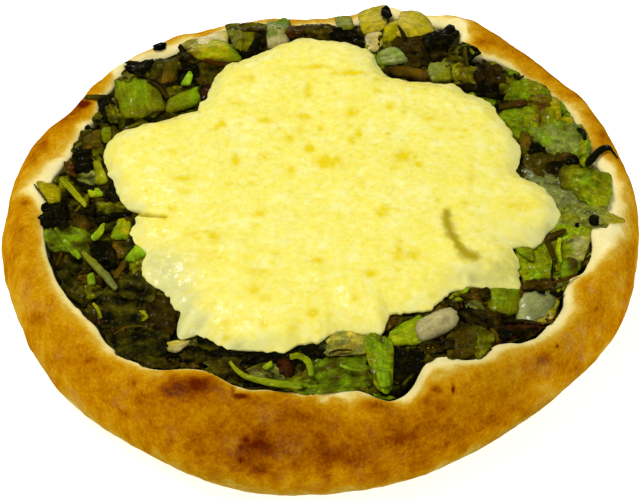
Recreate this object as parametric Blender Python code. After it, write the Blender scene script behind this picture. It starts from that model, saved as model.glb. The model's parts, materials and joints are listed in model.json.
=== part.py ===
"""Round open sfiha: a dough dish with a raised, pinched rim, a heap of chopped cooked greens in it and a
sheet of melted cheese on top.

Sizes are in millimetres until a mesh is made, with +Z up and the flat underside on Z = 0.  Angles are in
degrees, counter-clockwise as seen from above, from +X.  The side at 270 faces the viewer.
"""
import math
import random

import bmesh
import bpy
from mathutils import Euler, Matrix, Vector, noise

MM = 0.001
GAP = 0.3                   # air left between two pieces
ANGLES = 96                 # steps round the bread, the same on all pieces, so that their facets line up

# Crust: its widest line is the belly, its highest the crest, and its inner edge the lip.
BELLY_RADIUS = 59.5
BELLY_HEIGHT = 6.5
CREST_HEIGHT = 17.0
LIP_RADIUS = 51.0
LIP_WIDTH = 2.8             # from the lip out to the crest
LIP_DROP = 1.1              # from the crest down to the lip
FOOT_INSET = 5.5            # from the belly in to the edge of the flat underside
FLOOR_HEIGHT = 5.0          # thickness of the dough under the filling
WALL_RUN = 3.5              # how far the inner wall leans in on its way down to the floor
CRUST_UNEVEN = 0.5          # hand-shaped unevenness of the outside
FOOT_STEPS = 4
SHOULDER_STEPS = 6
LIP_STEPS = 2
WALL_STEPS = 3

# Each fold, pinch or bulge: its angle, its half width in degrees and how much it adds.
BELLY_BULGES = (
    (58, 20, 2.0), (92, 10, -1.8), (106, 12, -1.6), (143, 26, -3.3), (184, 24, 1.1),
    (262, 80, -0.6), (258, 30, 2.2), (312, 32, -2.5), (345, 20, -0.4),
)
LIP_FOLDS = (
    (4, 9, 2.2), (12, 6, -0.8), (30, 16, 1.9), (52, 8, -3.2), (66, 11, 4.0), (77, 8, 3.2),
    (96, 16, -0.6), (108, 12, 0.6), (116, 5, -1.4), (131, 16, 1.6), (155, 9, -2.4), (166, 11, -2.8),
    (204, 24, 1.5), (228, 12, 1.8), (246, 12, -3.2), (262, 14, -3.2), (275, 12, -3.6), (285, 5, -1.0),
    (295, 12, -6.2), (308, 9, -3.0), (332, 6, -2.2), (350, 7, -1.4),
)
CREST_WAVES = (
    (58, 12, 0.6), (94, 26, -3.2), (121, 24, -3.0), (146, 20, -1.4), (180, 12, -1.4), (212, 20, 0.5),
    (246, 16, 0.5), (268, 12, 0.3), (285, 8, -2.0), (298, 10, 0.7), (320, 12, -0.6), (345, 16, 0.5),
)

# Cheese: a thin sheet with a lobed outline that follows the top of the heap.
CHEESE_RADIUS = 38.5
CHEESE_LOBES = (
    (0, 9, 1.8), (9, 6, -1.2), (36, 16, 1.2), (62, 14, -4.6), (90, 20, 3.6), (135, 13, -5.4),
    (165, 17, 4.2), (192, 8, -3.8), (203, 9, -2.6), (234, 6, 6.0), (248, 14, 4.2), (275, 8, -2.8),
    (283, 5, -0.8), (296, 11, -5.0), (311, 12, -4.2), (326, 7, 5.2), (338, 5, -1.0), (350, 12, 4.6),
)
SHEET_HEIGHT = 15.4         # underside of the sheet at the edge of the heap
SHEET_CROWN = 1.1           # how much it rises to the middle
SHEET_SLOPE = 0.02          # rise towards the far side, per millimetre
SHEET_UNEVEN = 0.45
SHEET_WAVE = 24.0           # width of its undulations
CHEESE_THICKNESS = 2.5
CHEESE_EDGE = 1.5           # thickness where the rounded edge begins
CHEESE_ROUND = 1.3          # width of the rounded edge
CHEESE_RINGS = 5

# Greens: a core that fills the dish under the cheese, with chopped stalks and leaves on its ring that shows.
RING_DIP = 0.5              # how far the core lies under the cheese's level where it shows
RING_UNEVEN = 0.6
FAR_RISE = 1.6              # how much higher the heap is along the far rim
FAR_ANGLE = 100
FAR_SPREAD = 60             # degrees either side of that angle
CORE_CLEARANCE = 0.4        # from the core's side to the inner wall
CORE_EDGE = 0.8             # the core's upper edge is rounded by this much
CORE_EDGE_HEIGHT = 14.6
CORE_SIDE_HEIGHTS = (8.0, 11.0)
CORE_RINGS = 3              # on the ring that shows
LEAF_THICKNESS = 0.9
SHRED_THICKNESS = 1.2
FILL_SEED = 41
FILL_PIECES = 24

# The larger pieces that show: kind, angle, radius, length, width, heading, rise above the core, roll.
PIECES = (
    ("stalk", 144, 43.7, 11.5, 8.6, 138, 1.3, 10), ("stalk", 136, 38.6, 7.8, 4.6, 58, 0.6, 0),
    ("stalk", 119, 45.4, 12.0, 4.4, 157, 1.6, -20), ("leaf", 109, 46.2, 8.4, 8.0, 5, 1.6, 30),
    ("stalk", 128, 45.6, 8.0, 6.0, 20, 1.5, 25), ("lump", 99, 48.0, 5.2, 4.0, 10, 1.6, 0),
    ("shred", 89, 44.6, 13.0, 3.4, 161, 1.0, 15), ("stalk", 78, 50.6, 7.9, 5.4, 51, 2.6, -25),
    ("stalk", 70, 49.4, 9.4, 6.4, 28, 2.2, 12), ("lump", 69, 40.6, 6.2, 5.0, 29, 1.2, 0),
    ("leaf", 62, 47.0, 11.0, 6.2, 31, 2.0, 35), ("shred", 61, 38.4, 8.5, 2.8, 165, 0.6, 0),
    ("lump", 54, 40.6, 5.0, 3.9, 144, 0.9, 0), ("leaf", 45, 43.2, 7.6, 5.6, 131, 1.2, -25),
    ("leaf", 43, 48.2, 9.2, 5.4, 150, 1.5, 30), ("leaf", 31, 46.8, 12.6, 6.8, 140, 1.7, 25),
    ("leaf", 25, 42.6, 6.6, 4.8, 150, 1.0, -20), ("leaf", 15, 46.6, 10.6, 6.8, 121, 1.5, 30),
    ("stalk", 2, 49.6, 7.6, 6.4, 100, 2.2, 15), ("lump", 7, 45.4, 5.2, 4.6, 152, 1.3, 0),
    ("lump", 344, 47.4, 4.8, 3.4, 47, 1.2, 0), ("stalk", 333, 44.4, 7.0, 4.4, 116, 1.5, 20),
    ("lump", 336, 48.0, 4.2, 4.0, 0, 1.4, 0), ("stalk", 320, 42.2, 7.4, 5.6, 80, 1.6, -15),
    ("lump", 324, 47.4, 6.6, 6.2, 171, 1.7, 0), ("shred", 315, 46.8, 8.1, 2.6, 25, 0.8, 10),
    ("leaf", 314, 39.4, 7.0, 4.2, 142, 0.9, 30), ("lump", 301, 38.9, 8.4, 4.8, 25, 1.4, 0),
    ("lump", 304, 44.0, 4.8, 4.6, 0, 1.0, 0), ("stalk", 292, 38.6, 5.4, 4.4, 25, 1.1, 10),
    ("leaf", 278, 41.0, 11.5, 8.0, 166, 1.3, 20), ("shred", 258, 44.6, 11.6, 2.4, 160, 0.9, 0),
    ("leaf", 246, 44.4, 10.3, 3.8, 155, 0.8, 40), ("leaf", 229, 48.4, 6.6, 5.0, 13, 1.3, -25),
    ("leaf", 219, 46.8, 8.4, 5.2, 134, 1.0, 35), ("leaf", 208, 48.4, 8.4, 5.0, 118, 1.1, -30),
    ("shred", 207, 43.6, 10.4, 1.9, 130, 1.2, 0), ("shred", 196, 48.0, 9.2, 1.8, 125, 1.3, 0),
    ("leaf", 198, 42.0, 6.0, 4.6, 60, 0.9, 25), ("lump", 186, 48.6, 4.8, 4.6, 0, 1.4, 0),
    ("leaf", 180, 48.8, 7.3, 3.9, 137, 1.9, 20), ("shred", 178, 45.4, 9.4, 2.2, 131, 1.5, 0),
    ("leaf", 164, 45.4, 6.4, 5.0, 60, 1.3, -30), ("leaf", 153, 46.6, 8.0, 4.2, 122, 1.2, 40),
)

COLOURS = {
    "crust": (0.60, 0.30, 0.07),
    "greens": (0.10, 0.13, 0.02),
    "cheese": (0.88, 0.74, 0.22),
}
ROUGHNESS = {"crust": 0.75, "greens": 0.35, "cheese": 0.35}


# ---- Shapes as functions of the angle and the place ----

def raised(angle, table):
    """Sum of a table's bumps at an angle.  Each is a raised cosine, so that it starts and ends smoothly."""
    total = 0.0
    for centre, half_width, amount in table:
        away = abs((angle - centre + 180.0) % 360.0 - 180.0)
        if away < half_width:
            total += amount * (0.5 + 0.5 * math.cos(math.pi * away / half_width))
    return total


def smooth_step(value):
    """0 below 0, 1 above 1, smooth between."""
    value = min(max(value, 0.0), 1.0)
    return value * value * (3.0 - 2.0 * value)


def uneven(x, y, z, size):
    """Smooth noise from about -1 to 1, with bumps about `size` millimetres wide."""
    return noise.noise(Vector((x, y, z)) / size) * 1.6


def at(angle, radius):
    turn = math.radians(angle)
    return radius * math.cos(turn), radius * math.sin(turn)


def belly_radius(angle):
    return BELLY_RADIUS + raised(angle, BELLY_BULGES)


def lip_radius(angle):
    return LIP_RADIUS + raised(angle, LIP_FOLDS)


def crest_height(angle):
    return CREST_HEIGHT + raised(angle, CREST_WAVES)


def wall_radius(angle, height):
    """Inner wall's radius at a height under the lip.  The lip's folds fade out on the way down."""
    lip_height = crest_height(angle) - LIP_DROP
    down = min(max((lip_height - height) / (lip_height - FLOOR_HEIGHT), 0.0), 1.0)
    smoothed = sum(lip_radius(angle + turn) for turn in (-10.0, -5.0, 0.0, 5.0, 10.0)) / 5.0
    return lip_radius(angle) + (smoothed - lip_radius(angle)) * down - WALL_RUN * down ** 2


def free_radius(angle, height):
    """How far out the filling reaches at a height: the nearest wall a few degrees around, less some air."""
    near = [wall_radius(angle + turn, height) for turn in (-3.0, -1.5, 0.0, 1.5, 3.0)]
    return min(near) - CORE_CLEARANCE


def cheese_radius(angle):
    return CHEESE_RADIUS + raised(angle, CHEESE_LOBES)


def sheet_height(x, y):
    """Level that the cheese's underside follows."""
    crown = SHEET_CROWN * (1.0 - (x * x + y * y) / LIP_RADIUS ** 2)
    return SHEET_HEIGHT + crown + SHEET_SLOPE * y + SHEET_UNEVEN * uneven(x, y, 0.0, SHEET_WAVE)


def heap_height(x, y):
    """Top of the greens' core: just under the cheese, and lower and bumpier on the ring that shows."""
    angle = math.degrees(math.atan2(y, x))
    beyond = math.hypot(x, y) - cheese_radius(angle)
    outside = smooth_step(beyond / 3.0)
    bumps = RING_UNEVEN * uneven(x, y, 9.0, 5.0)
    far = FAR_RISE * raised(angle, ((FAR_ANGLE, FAR_SPREAD, 1.0),)) * smooth_step((beyond - 1.5) / 4.0)
    return sheet_height(x, y) - GAP - outside * (RING_DIP + bumps) + far


# ---- Meshes ----

def new_object(name, points, faces, colour_of=None):
    """Mesh object from points in millimetres.  Without a colour it only serves to be fused."""
    mesh = bpy.data.meshes.new(name)
    mesh.from_pydata([Vector(point) * MM for point in points], [], faces)
    mesh.validate()
    thing = bpy.data.objects.new(name, mesh)
    bpy.context.scene.collection.objects.link(thing)
    if colour_of:
        mesh.materials.append(food_material(colour_of))
        mesh.shade_smooth()
    return thing


def food_material(name):
    material = bpy.data.materials.new(name)
    material.use_nodes = True
    shader = material.node_tree.nodes["Principled BSDF"]
    shader.inputs["Base Color"].default_value = (*COLOURS[name], 1.0)
    shader.inputs["Roughness"].default_value = ROUGHNESS[name]
    shader.inputs["Metallic"].default_value = 0.0
    return material


def turned_solid(name, sections):
    """Closed solid from one section for each angle.  A section runs from the middle of the underside out,
    over the top and back in.  Its first and last points are shared by all."""
    count = len(sections[0]) - 2
    points = [sections[0][0], sections[0][-1]]
    for section in sections:
        points.extend(section[1:-1])
    faces = []
    for turn in range(len(sections)):
        here = 2 + turn * count
        there = 2 + (turn + 1) % len(sections) * count
        faces.append((0, there, here))
        for step in range(count - 1):
            faces.append((here + step, there + step, there + step + 1, here + step + 1))
        faces.append((1, here + count - 1, there + count - 1))
    return new_object(name, points, faces, name)


def all_angles():
    return [360.0 * turn / ANGLES for turn in range(ANGLES)]


def crust_section(angle):
    belly = belly_radius(angle)
    crest = crest_height(angle)
    lip = lip_radius(angle)
    lip_height = crest - LIP_DROP
    section = [(0.0, 0.0)]
    for step in range(FOOT_STEPS):
        turn = math.radians(90.0 * step / FOOT_STEPS)
        radius = belly - FOOT_INSET * (1.0 - math.sin(turn))
        section.append((radius, BELLY_HEIGHT * (1.0 - math.cos(turn))))
    for step in range(SHOULDER_STEPS):
        turn = math.radians(90.0 * step / SHOULDER_STEPS)
        radius = lip + LIP_WIDTH + (belly - lip - LIP_WIDTH) * math.cos(turn)
        height = BELLY_HEIGHT + (crest - BELLY_HEIGHT) * math.sin(turn)
        x, y = at(angle, radius)
        swell = CRUST_UNEVEN * uneven(x, y, height, 12.0) * math.cos(turn) ** 0.5
        section.append((radius + swell, height))
    for step in range(LIP_STEPS):
        turn = math.radians(90.0 * step / LIP_STEPS)
        radius = lip + LIP_WIDTH * (1.0 - math.sin(turn))
        section.append((radius, crest - LIP_DROP * (1.0 - math.cos(turn))))
    for step in range(WALL_STEPS + 1):
        height = lip_height + (FLOOR_HEIGHT - lip_height) * step / WALL_STEPS
        section.append((wall_radius(angle, height), height))
    section.append((0.0, FLOOR_HEIGHT))
    return [(*at(angle, radius), height) for radius, height in section]


def core_section(angle):
    bottom = FLOOR_HEIGHT + GAP
    section = [(0.0, 0.0, bottom)]
    for height in (bottom, *CORE_SIDE_HEIGHTS, CORE_EDGE_HEIGHT):
        section.append((*at(angle, free_radius(angle, height)), height))
    outer = free_radius(angle, CORE_EDGE_HEIGHT) - CORE_EDGE
    inner = cheese_radius(angle)
    rings = [outer + (inner - outer) * step / CORE_RINGS for step in range(CORE_RINGS + 1)]
    for radius in rings + [inner * 0.5]:
        x, y = at(angle, radius)
        section.append((x, y, heap_height(x, y)))
    section.append((0.0, 0.0, heap_height(0.0, 0.0)))
    return section


def cheese_section(angle):
    radius = cheese_radius(angle)
    inner = radius - CHEESE_ROUND
    section = [(0.0, 0.0, sheet_height(0.0, 0.0))]
    for share in (0.5, 1.0):
        x, y = at(angle, inner * share)
        section.append((x, y, sheet_height(x, y)))
    for turn in (50.0, 100.0, 140.0):
        x, y = at(angle, inner + CHEESE_ROUND * math.sin(math.radians(turn)))
        half = CHEESE_EDGE / 2.0
        section.append((x, y, sheet_height(x, y) + half - half * math.cos(math.radians(turn))))
    for step in range(CHEESE_RINGS):
        share = 1.0 - step / CHEESE_RINGS
        x, y = at(angle, inner * share)
        thickness = CHEESE_THICKNESS + (CHEESE_EDGE - CHEESE_THICKNESS) * share ** 4
        section.append((x, y, sheet_height(x, y) + thickness))
    section.append((0.0, 0.0, sheet_height(0.0, 0.0) + CHEESE_THICKNESS))
    return section


# ---- Chopped pieces, each lying along X with its middle at 0 ----

def double_grid(rows, columns, place):
    """Closed thin solid: two like grids of triangles, above and below, joined round their edge."""
    points = []
    for side in (1.0, -1.0):
        for row in range(rows):
            for column in range(columns):
                points.append(place(2.0 * row / (rows - 1) - 1.0, 2.0 * column / (columns - 1) - 1.0, side))
    below = rows * columns
    faces = []
    for row in range(rows - 1):
        for column in range(columns - 1):
            a = row * columns + column
            b = a + columns
            faces += [(a, b, b + 1), (a, b + 1, a + 1)]
            faces += [(below + a, below + b + 1, below + b), (below + a, below + a + 1, below + b + 1)]
    edge = [row * columns for row in range(rows)]
    edge += [(rows - 1) * columns + column for column in range(1, columns)]
    edge += [row * columns + columns - 1 for row in range(rows - 2, -1, -1)]
    edge += list(range(columns - 2, 0, -1))
    for a, b in zip(edge, edge[1:] + edge[:1]):
        faces += [(a, below + a, below + b), (a, below + b, b)]
    return points, faces


def leaf(length, width, draw):
    """Thin wavy scrap of leaf, with a point at one end."""
    phase = draw.uniform(0.0, 6.28)
    wave = draw.uniform(0.5, 1.0)

    def place(along, across, side):
        narrow = 1.0 - 0.45 * max(along, 0.0) ** 2
        height = wave * math.sin(2.4 * along + phase) + 0.6 * across * across
        return (length / 2.0 * along, width / 2.0 * across * narrow, height + side * LEAF_THICKNESS / 2.0)

    return double_grid(4, 3, place)


def shred(length, width, draw):
    """Narrow strip, bent sideways and arched."""
    bend = draw.uniform(-0.16, 0.16) * length
    arch = draw.uniform(0.3, 0.9)

    def place(along, across, side):
        y = width / 2.0 * across + bend * along * along
        return (length / 2.0 * along, y, side * SHRED_THICKNESS / 2.0 - arch * along * along)

    return double_grid(4, 2, place)


def stalk(length, width, draw):
    """Piece of a ribbed stalk: a channel, thicker in the middle."""
    thickness = draw.uniform(1.7, 2.3)

    def place(along, across, side):
        turn = 0.9 * across
        out = width / 2.0 * (1.0 + 0.06 * along)
        y = out * math.sin(turn) / math.sin(0.9)
        z = out * (math.cos(turn) - 0.8) + side * thickness / 2.0 * (1.0 - 0.35 * across * across)
        return (length / 2.0 * along, y, z)

    return double_grid(2, 5, place)


def lump(length, width, draw):
    """Rounded soft chunk."""
    height = width * draw.uniform(0.55, 0.7)

    def place(along, across, side):
        u = math.radians(78.0 * along)
        v = math.radians(70.0 * across)
        x = length / 2.0 * math.sin(u)
        y = width / 2.0 * math.cos(u) ** 0.5 * math.sin(v)
        return (x, y, side * (0.3 + height / 2.0 * math.cos(u) * math.cos(v)))

    return double_grid(4, 4, place)


SHAPES = {"leaf": leaf, "shred": shred, "stalk": stalk, "lump": lump}


def is_clear(points):
    """Whether the points keep off the crust and the cheese."""
    for x, y, z in points:
        angle = math.degrees(math.atan2(y, x))
        radius = math.hypot(x, y)
        above_rim = z > crest_height(angle) + 1.2
        if not above_rim and radius > free_radius(angle, z):
            return False
        if radius < cheese_radius(angle) + 0.9 and z > sheet_height(x, y) - GAP:
            return False
    return True


def with_middles(points, faces):
    """The points, with the middle of each face."""
    middles = [sum((Vector(points[corner]) for corner in face), Vector()) / len(face) for face in faces]
    return points + middles


def set_down(kind, angle, radius, length, width, heading, rise, roll, draw):
    """A chopped piece on the core, moved along its radius or made smaller until it is clear, or None."""
    for attempt in range(24):
        size = 0.94 ** (attempt // 3)
        shift = 0.7 * ((attempt + 1) // 2) * (-1) ** attempt
        points, faces = SHAPES[kind](length * size, width * size, random.Random(draw))
        x, y = at(angle, radius + shift)
        turn = Euler((math.radians(roll), 0.0, math.radians(heading)))
        matrix = Matrix.Translation((x, y, heap_height(x, y) + rise * size)) @ turn.to_matrix().to_4x4()
        points = [matrix @ Vector(point) for point in points]
        if is_clear(with_middles(points, faces)):
            return points, faces
    return None


def fill_rows(draw):
    """Random pieces for the rest of the ring: evenly round it, in two rows."""
    for number in range(FILL_PIECES):
        angle = 360.0 * number / FILL_PIECES + draw.uniform(-4.0, 4.0)
        inner = cheese_radius(angle) + 2.0
        outer = free_radius(angle, CORE_EDGE_HEIGHT) - 2.0
        radius = inner + (outer - inner) * (0.3 if number % 2 else 0.75)
        kind = draw.choice(("leaf", "leaf", "shred", "lump"))
        length = draw.uniform(5.0, 8.0)
        width = draw.uniform(3.0, 4.6) * (0.6 if kind == "shred" else 1.0)
        heading = draw.uniform(0.0, 180.0)
        rise = draw.uniform(0.4, 1.1)
        yield kind, angle, radius, length, width, heading, rise, draw.uniform(-35.0, 35.0)


def keep_largest_shell(thing):
    """Drops loose scraps and the walls of sealed hollows that the fusing leaves."""
    shape = bmesh.new()
    shape.from_mesh(thing.data)
    left = set(shape.faces)
    shells = []
    while left:
        shell = {left.pop()}
        edge = list(shell)
        while edge:
            face = edge.pop()
            for side in face.edges:
                for other in side.link_faces:
                    if other in left:
                        left.remove(other)
                        shell.add(other)
                        edge.append(other)
        shells.append(shell)
    largest = max(shells, key=len)
    loose = [face for shell in shells if shell is not largest for face in shell]
    bmesh.ops.delete(shape, geom=loose, context="FACES")
    shape.to_mesh(thing.data)
    shape.free()


def fuse(core, pieces):
    """Unites the pieces with the core by one Boolean and removes them."""
    group = bpy.data.collections.new("chopped pieces")
    bpy.context.scene.collection.children.link(group)
    for number, (points, faces) in enumerate(pieces):
        piece = new_object(f"piece_{number}", points, faces)
        bpy.context.scene.collection.objects.unlink(piece)
        group.objects.link(piece)
    union = core.modifiers.new("union", "BOOLEAN")
    union.operation = "UNION"
    union.operand_type = "COLLECTION"
    union.collection = group
    union.solver = "EXACT"
    bpy.context.view_layer.update()
    fused = bpy.data.meshes.new_from_object(core.evaluated_get(bpy.context.evaluated_depsgraph_get()))
    core.modifiers.clear()
    core.data = fused
    for piece in list(group.objects):
        bpy.data.objects.remove(piece)
    bpy.data.collections.remove(group)
    keep_largest_shell(core)


# ---- The three pieces of the bread ----

def make_crust():
    return turned_solid("crust", [crust_section(angle) for angle in all_angles()])


def make_greens():
    core = turned_solid("greens", [core_section(angle) for angle in all_angles()])
    draw = random.Random(FILL_SEED)
    pieces = [set_down(*row, draw=number) for number, row in enumerate(PIECES)]
    pieces += [set_down(*row, draw=number) for number, row in enumerate(fill_rows(draw))]
    fuse(core, [piece for piece in pieces if piece])
    return core


def make_cheese():
    return turned_solid("cheese", [cheese_section(angle) for angle in all_angles()])


def stand_on_origin(things, base):
    """Moves all pieces alike, so that the base's box is centred over the origin."""
    corners = [Vector(corner) for corner in base.bound_box]
    middle = sum(corners, Vector()) / len(corners)
    for thing in things:
        thing.data.transform(Matrix.Translation((-middle.x, -middle.y, 0.0)))


def main():
    for thing in list(bpy.data.objects):
        bpy.data.objects.remove(thing)
    crust = make_crust()
    greens = make_greens()
    cheese = make_cheese()
    bpy.context.view_layer.update()
    stand_on_origin((crust, greens, cheese), crust)


main()
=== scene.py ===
"""Looks of the open sfiha: the baked crust, the melted cheese and the heap of chopped cooked greens.

Shapes are worked out in millimetres and degrees, as in the part's source: angles run counter-clockwise from
+X as seen from above, and 270 is nearest the viewer.  Arrays of places turn into metres when a mesh is made.
"""

import itertools
import json
import math
import random

import bpy
import numpy as np
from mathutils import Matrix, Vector, noise

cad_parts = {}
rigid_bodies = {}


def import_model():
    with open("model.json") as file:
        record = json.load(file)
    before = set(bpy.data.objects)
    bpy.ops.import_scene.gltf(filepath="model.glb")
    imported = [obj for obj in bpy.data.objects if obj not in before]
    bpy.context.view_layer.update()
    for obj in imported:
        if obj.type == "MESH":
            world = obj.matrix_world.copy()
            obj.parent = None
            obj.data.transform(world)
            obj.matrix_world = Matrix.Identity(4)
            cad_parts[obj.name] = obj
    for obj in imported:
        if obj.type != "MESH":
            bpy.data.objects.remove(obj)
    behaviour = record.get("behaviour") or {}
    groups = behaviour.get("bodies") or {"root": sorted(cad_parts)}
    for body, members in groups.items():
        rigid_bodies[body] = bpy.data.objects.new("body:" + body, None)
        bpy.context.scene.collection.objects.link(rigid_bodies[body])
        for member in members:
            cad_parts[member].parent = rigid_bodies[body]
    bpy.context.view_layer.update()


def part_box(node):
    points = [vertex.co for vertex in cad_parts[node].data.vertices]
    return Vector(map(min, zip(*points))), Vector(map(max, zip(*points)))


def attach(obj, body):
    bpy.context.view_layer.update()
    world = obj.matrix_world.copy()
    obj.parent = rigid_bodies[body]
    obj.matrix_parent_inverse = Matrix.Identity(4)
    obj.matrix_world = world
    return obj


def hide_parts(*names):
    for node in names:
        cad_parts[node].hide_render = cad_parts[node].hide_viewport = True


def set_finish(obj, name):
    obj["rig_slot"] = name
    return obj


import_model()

MM = 0.001

# ---- Driving sizes of the part, repeated from its source ----

BELLY_RADIUS = 59.5
BELLY_HEIGHT = 6.5
CREST_HEIGHT = 17.0
LIP_RADIUS = 51.0
LIP_WIDTH = 2.8
LIP_DROP = 1.1
FOOT_INSET = 5.5
FLOOR_HEIGHT = 5.0
WALL_RUN = 3.5
CRUST_UNEVEN = 0.5
CORE_CLEARANCE = 0.4
GAP = 0.3

# Each fold, pinch or bulge: its angle, its half width in degrees and how much it adds.
BELLY_BULGES = (
    (58, 20, 2.0), (92, 10, -1.8), (106, 12, -1.6), (143, 26, -3.3), (184, 24, 1.1), (262, 80, -0.6),
    (258, 30, 2.2), (312, 32, -2.5), (345, 20, -0.4),
)
LIP_FOLDS = (
    (4, 9, 2.2), (12, 6, -0.8), (30, 16, 1.9), (52, 8, -3.2), (66, 11, 4.0), (77, 8, 3.2), (96, 16, -0.6),
    (108, 12, 0.6), (116, 5, -1.4), (131, 16, 1.6), (155, 9, -2.4), (166, 11, -2.8), (204, 24, 1.5),
    (228, 12, 1.8), (246, 12, -3.2), (262, 14, -3.2), (275, 12, -3.6), (285, 5, -1.0), (295, 12, -6.2),
    (308, 9, -3.0), (332, 6, -2.2), (350, 7, -1.4),
)
CREST_WAVES = (
    (58, 12, 0.6), (94, 26, -3.2), (121, 24, -3.0), (146, 20, -1.4), (180, 12, -1.4), (212, 20, 0.5),
    (246, 16, 0.5), (268, 12, 0.3), (285, 8, -2.0), (298, 10, 0.7), (320, 12, -0.6), (345, 16, 0.5),
)
CHEESE_RADIUS = 38.5
CHEESE_LOBES = (
    (0, 9, 1.8), (9, 6, -1.2), (36, 16, 1.2), (62, 14, -4.6), (90, 20, 3.6), (135, 13, -5.4),
    (165, 17, 4.2), (192, 8, -3.8), (203, 9, -2.6), (234, 6, 6.0), (248, 14, 4.2), (275, 8, -2.8),
    (283, 5, -0.8), (296, 11, -5.0), (311, 12, -4.2), (326, 7, 5.2), (338, 5, -1.0), (350, 12, 4.6),
)
SHEET_HEIGHT = 15.4
SHEET_CROWN = 1.1
SHEET_SLOPE = 0.02
SHEET_UNEVEN = 0.45
SHEET_WAVE = 24.0
CHEESE_THICKNESS = 2.5
CHEESE_ROUND = 1.3
RING_DIP = 0.5
RING_UNEVEN = 0.6
FAR_RISE = 1.6
FAR_ANGLE = 100
FAR_SPREAD = 60
CORE_EDGE_HEIGHT = 14.6
EDGE_ABOVE_LIP = 1.2        # how high above the lip the heap stands at its edge, at most
EDGE_SLOPE_RUN = 5.0        # width of the slope down to that edge
BANK_RISE = 1.0             # how much higher the pieces lie by the rim than the part's plain core
# Where they lie higher or lower than that: angle, half width in degrees and rise.
BANK_SIDES = ((45, 50, 1.3), (5, 30, 0.6), (57, 12, -1.2), (95, 40, -0.8))
# Small irregularities of the outlines, which the part's source leaves out.  Those of the cheese's edge are
# given as the angle and the difference there.
EDGE_DETAIL = (
    (0, 2.0), (3, 1.5), (7, 0.6), (11, -0.6), (14, 0.2), (17, 0.9), (21, 1.5), (25, 1.6), (28, 1.1),
    (32, 0.7), (36, 1.3), (39, 1.2), (42, 0.5), (45, 0.3), (49, 0.8), (54, 0.4), (58, 0.9), (64, 0.6),
    (68, -1.2), (70, -1.6), (73, -1.0), (75, 0.6), (78, 1.1), (84, 1.0), (90, 0.6), (95, 1.6), (99, 2.1),
    (103, 2.6), (107, 2.3), (111, 1.7), (118, 1.3), (122, 0.5), (126, -0.7), (129, -0.6), (134, 0.6),
    (141, -1.0), (145, -2.0), (148, -1.2), (151, 0.7), (155, 1.4), (159, 1.3), (164, 0.4), (170, -0.4),
    (177, -0.6), (182, -1.1), (185, -2.0), (188, -2.4), (190, 0.2), (193, 0.6), (197, -0.6), (201, -0.5),
    (205, -1.0), (212, -0.8), (220, -1.0), (223, -1.3), (227, 0.0), (231, -1.0), (234, -1.2), (237, -1.4),
    (239, 0.5), (242, -0.4), (244, -1.3), (247, -1.8), (250, -2.3), (256, -1.4), (260, -0.6), (263, -2.0),
    (267, -2.5), (271, -2.4), (275, -2.4), (278, -3.0), (284, -2.9), (287, -2.7), (290, -3.1), (292, -3.2),
    (295, -1.5), (298, -1.1), (302, -2.4), (306, -2.1), (309, -1.0), (313, -1.1), (316, -2.4), (319, -3.2),
    (323, -3.2), (324.5, -3.2), (326, -2.2), (328, -0.9), (331, 1.4), (334, 1.4), (337, 0.4), (339.5, -1.0),
    (341.5, 1.4), (344, 1.0), (347, -0.3), (351, 0.4), (354, 1.5), (357, 2.0), (360, 2.0),
)
BELLY_DETAIL = ((95, 34, -1.1), (74, 16, -1.2), (222, 26, 1.1), (186, 18, -0.7), (160, 10, 0.5))
CREST_DETAIL = (
    (90, 36, -1.1), (74, 18, -0.9), (53, 9, 1.5), (112, 16, -0.4), (67, 10, -1.6), (35, 11, -1.3),
    (130, 12, -1.1),
)

SOURCE_STEP = 3.75          # degrees between the points round the crust in the part's source
ANGLES = 720                # steps round the crust, the cheese and the core of the greens here
TURN = np.arange(ANGLES) * 360.0 / ANGLES
QUARTER = math.radians(90.0)

# ---- Camera, which also places what is given by pixels of the photograph ----

CAMERA_TILT = math.radians(46.5)
CAMERA_DISTANCE = 400.0
CAMERA_TARGET = np.array([-0.45, -6.5, 8.0])
TOWARDS_CAMERA = np.array([0.0, -math.cos(CAMERA_TILT), math.sin(CAMERA_TILT)])
SENSOR_WIDTH = 36.0
FOCAL_PIXELS = 2145.0       # focal length in pixels of the photo
IMAGE_WIDTH = 640
IMAGE_HEIGHT = 500
PIXELS_ACROSS = 5.4         # pixels for a millimetre across the bread, near its middle
PIXELS_UP = 3.9             # pixels for a millimetre away from the viewer
LEVEL = 16.5                # usual height of the greens

# ---- Shapes as functions of the angle and the place, for arrays ----

# Hashing of the noise's cells.  A slope along each axis is read from SLOPE_BITS bits of a cell's code.
HASH_FACTORS = np.array([73856093, 19349663, 83492791])
HASH_ROUNDS = (0x9E3779B1, 0x85EBCA77)
HASH_MASK = 0xFFFFFFFF
SLOPE_BITS = 10
SLOPE_MAX = 2 ** SLOPE_BITS - 1
NOISE_GAIN = 1.9
# Grid on which the sheet's slow waves are worked out, with the noise of the part's source.
WAVE_STEP = 2.0
WAVE_REACH = 64.0
WAVE_GAIN = 1.6


def raised(angle, table):
    """Sum of a table's bumps at the angles.  Each is a raised cosine, so that it starts and ends smoothly."""
    total = np.zeros_like(angle, dtype=float)
    for centre, half_width, amount in table:
        away = np.abs((angle - centre + 180.0) % 360.0 - 180.0)
        total += np.where(away < half_width, amount * (0.5 + 0.5 * np.cos(np.pi * away / half_width)), 0.0)
    return total


def held(value):
    """Value held between 0 and 1."""
    return np.clip(value, 0.0, 1.0)


def smooth_step(value, low=0.0, high=1.0):
    """0 below low, 1 above high, smooth between."""
    share = held((value - low) / (high - low))
    return share * share * (3.0 - 2.0 * share)


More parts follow.
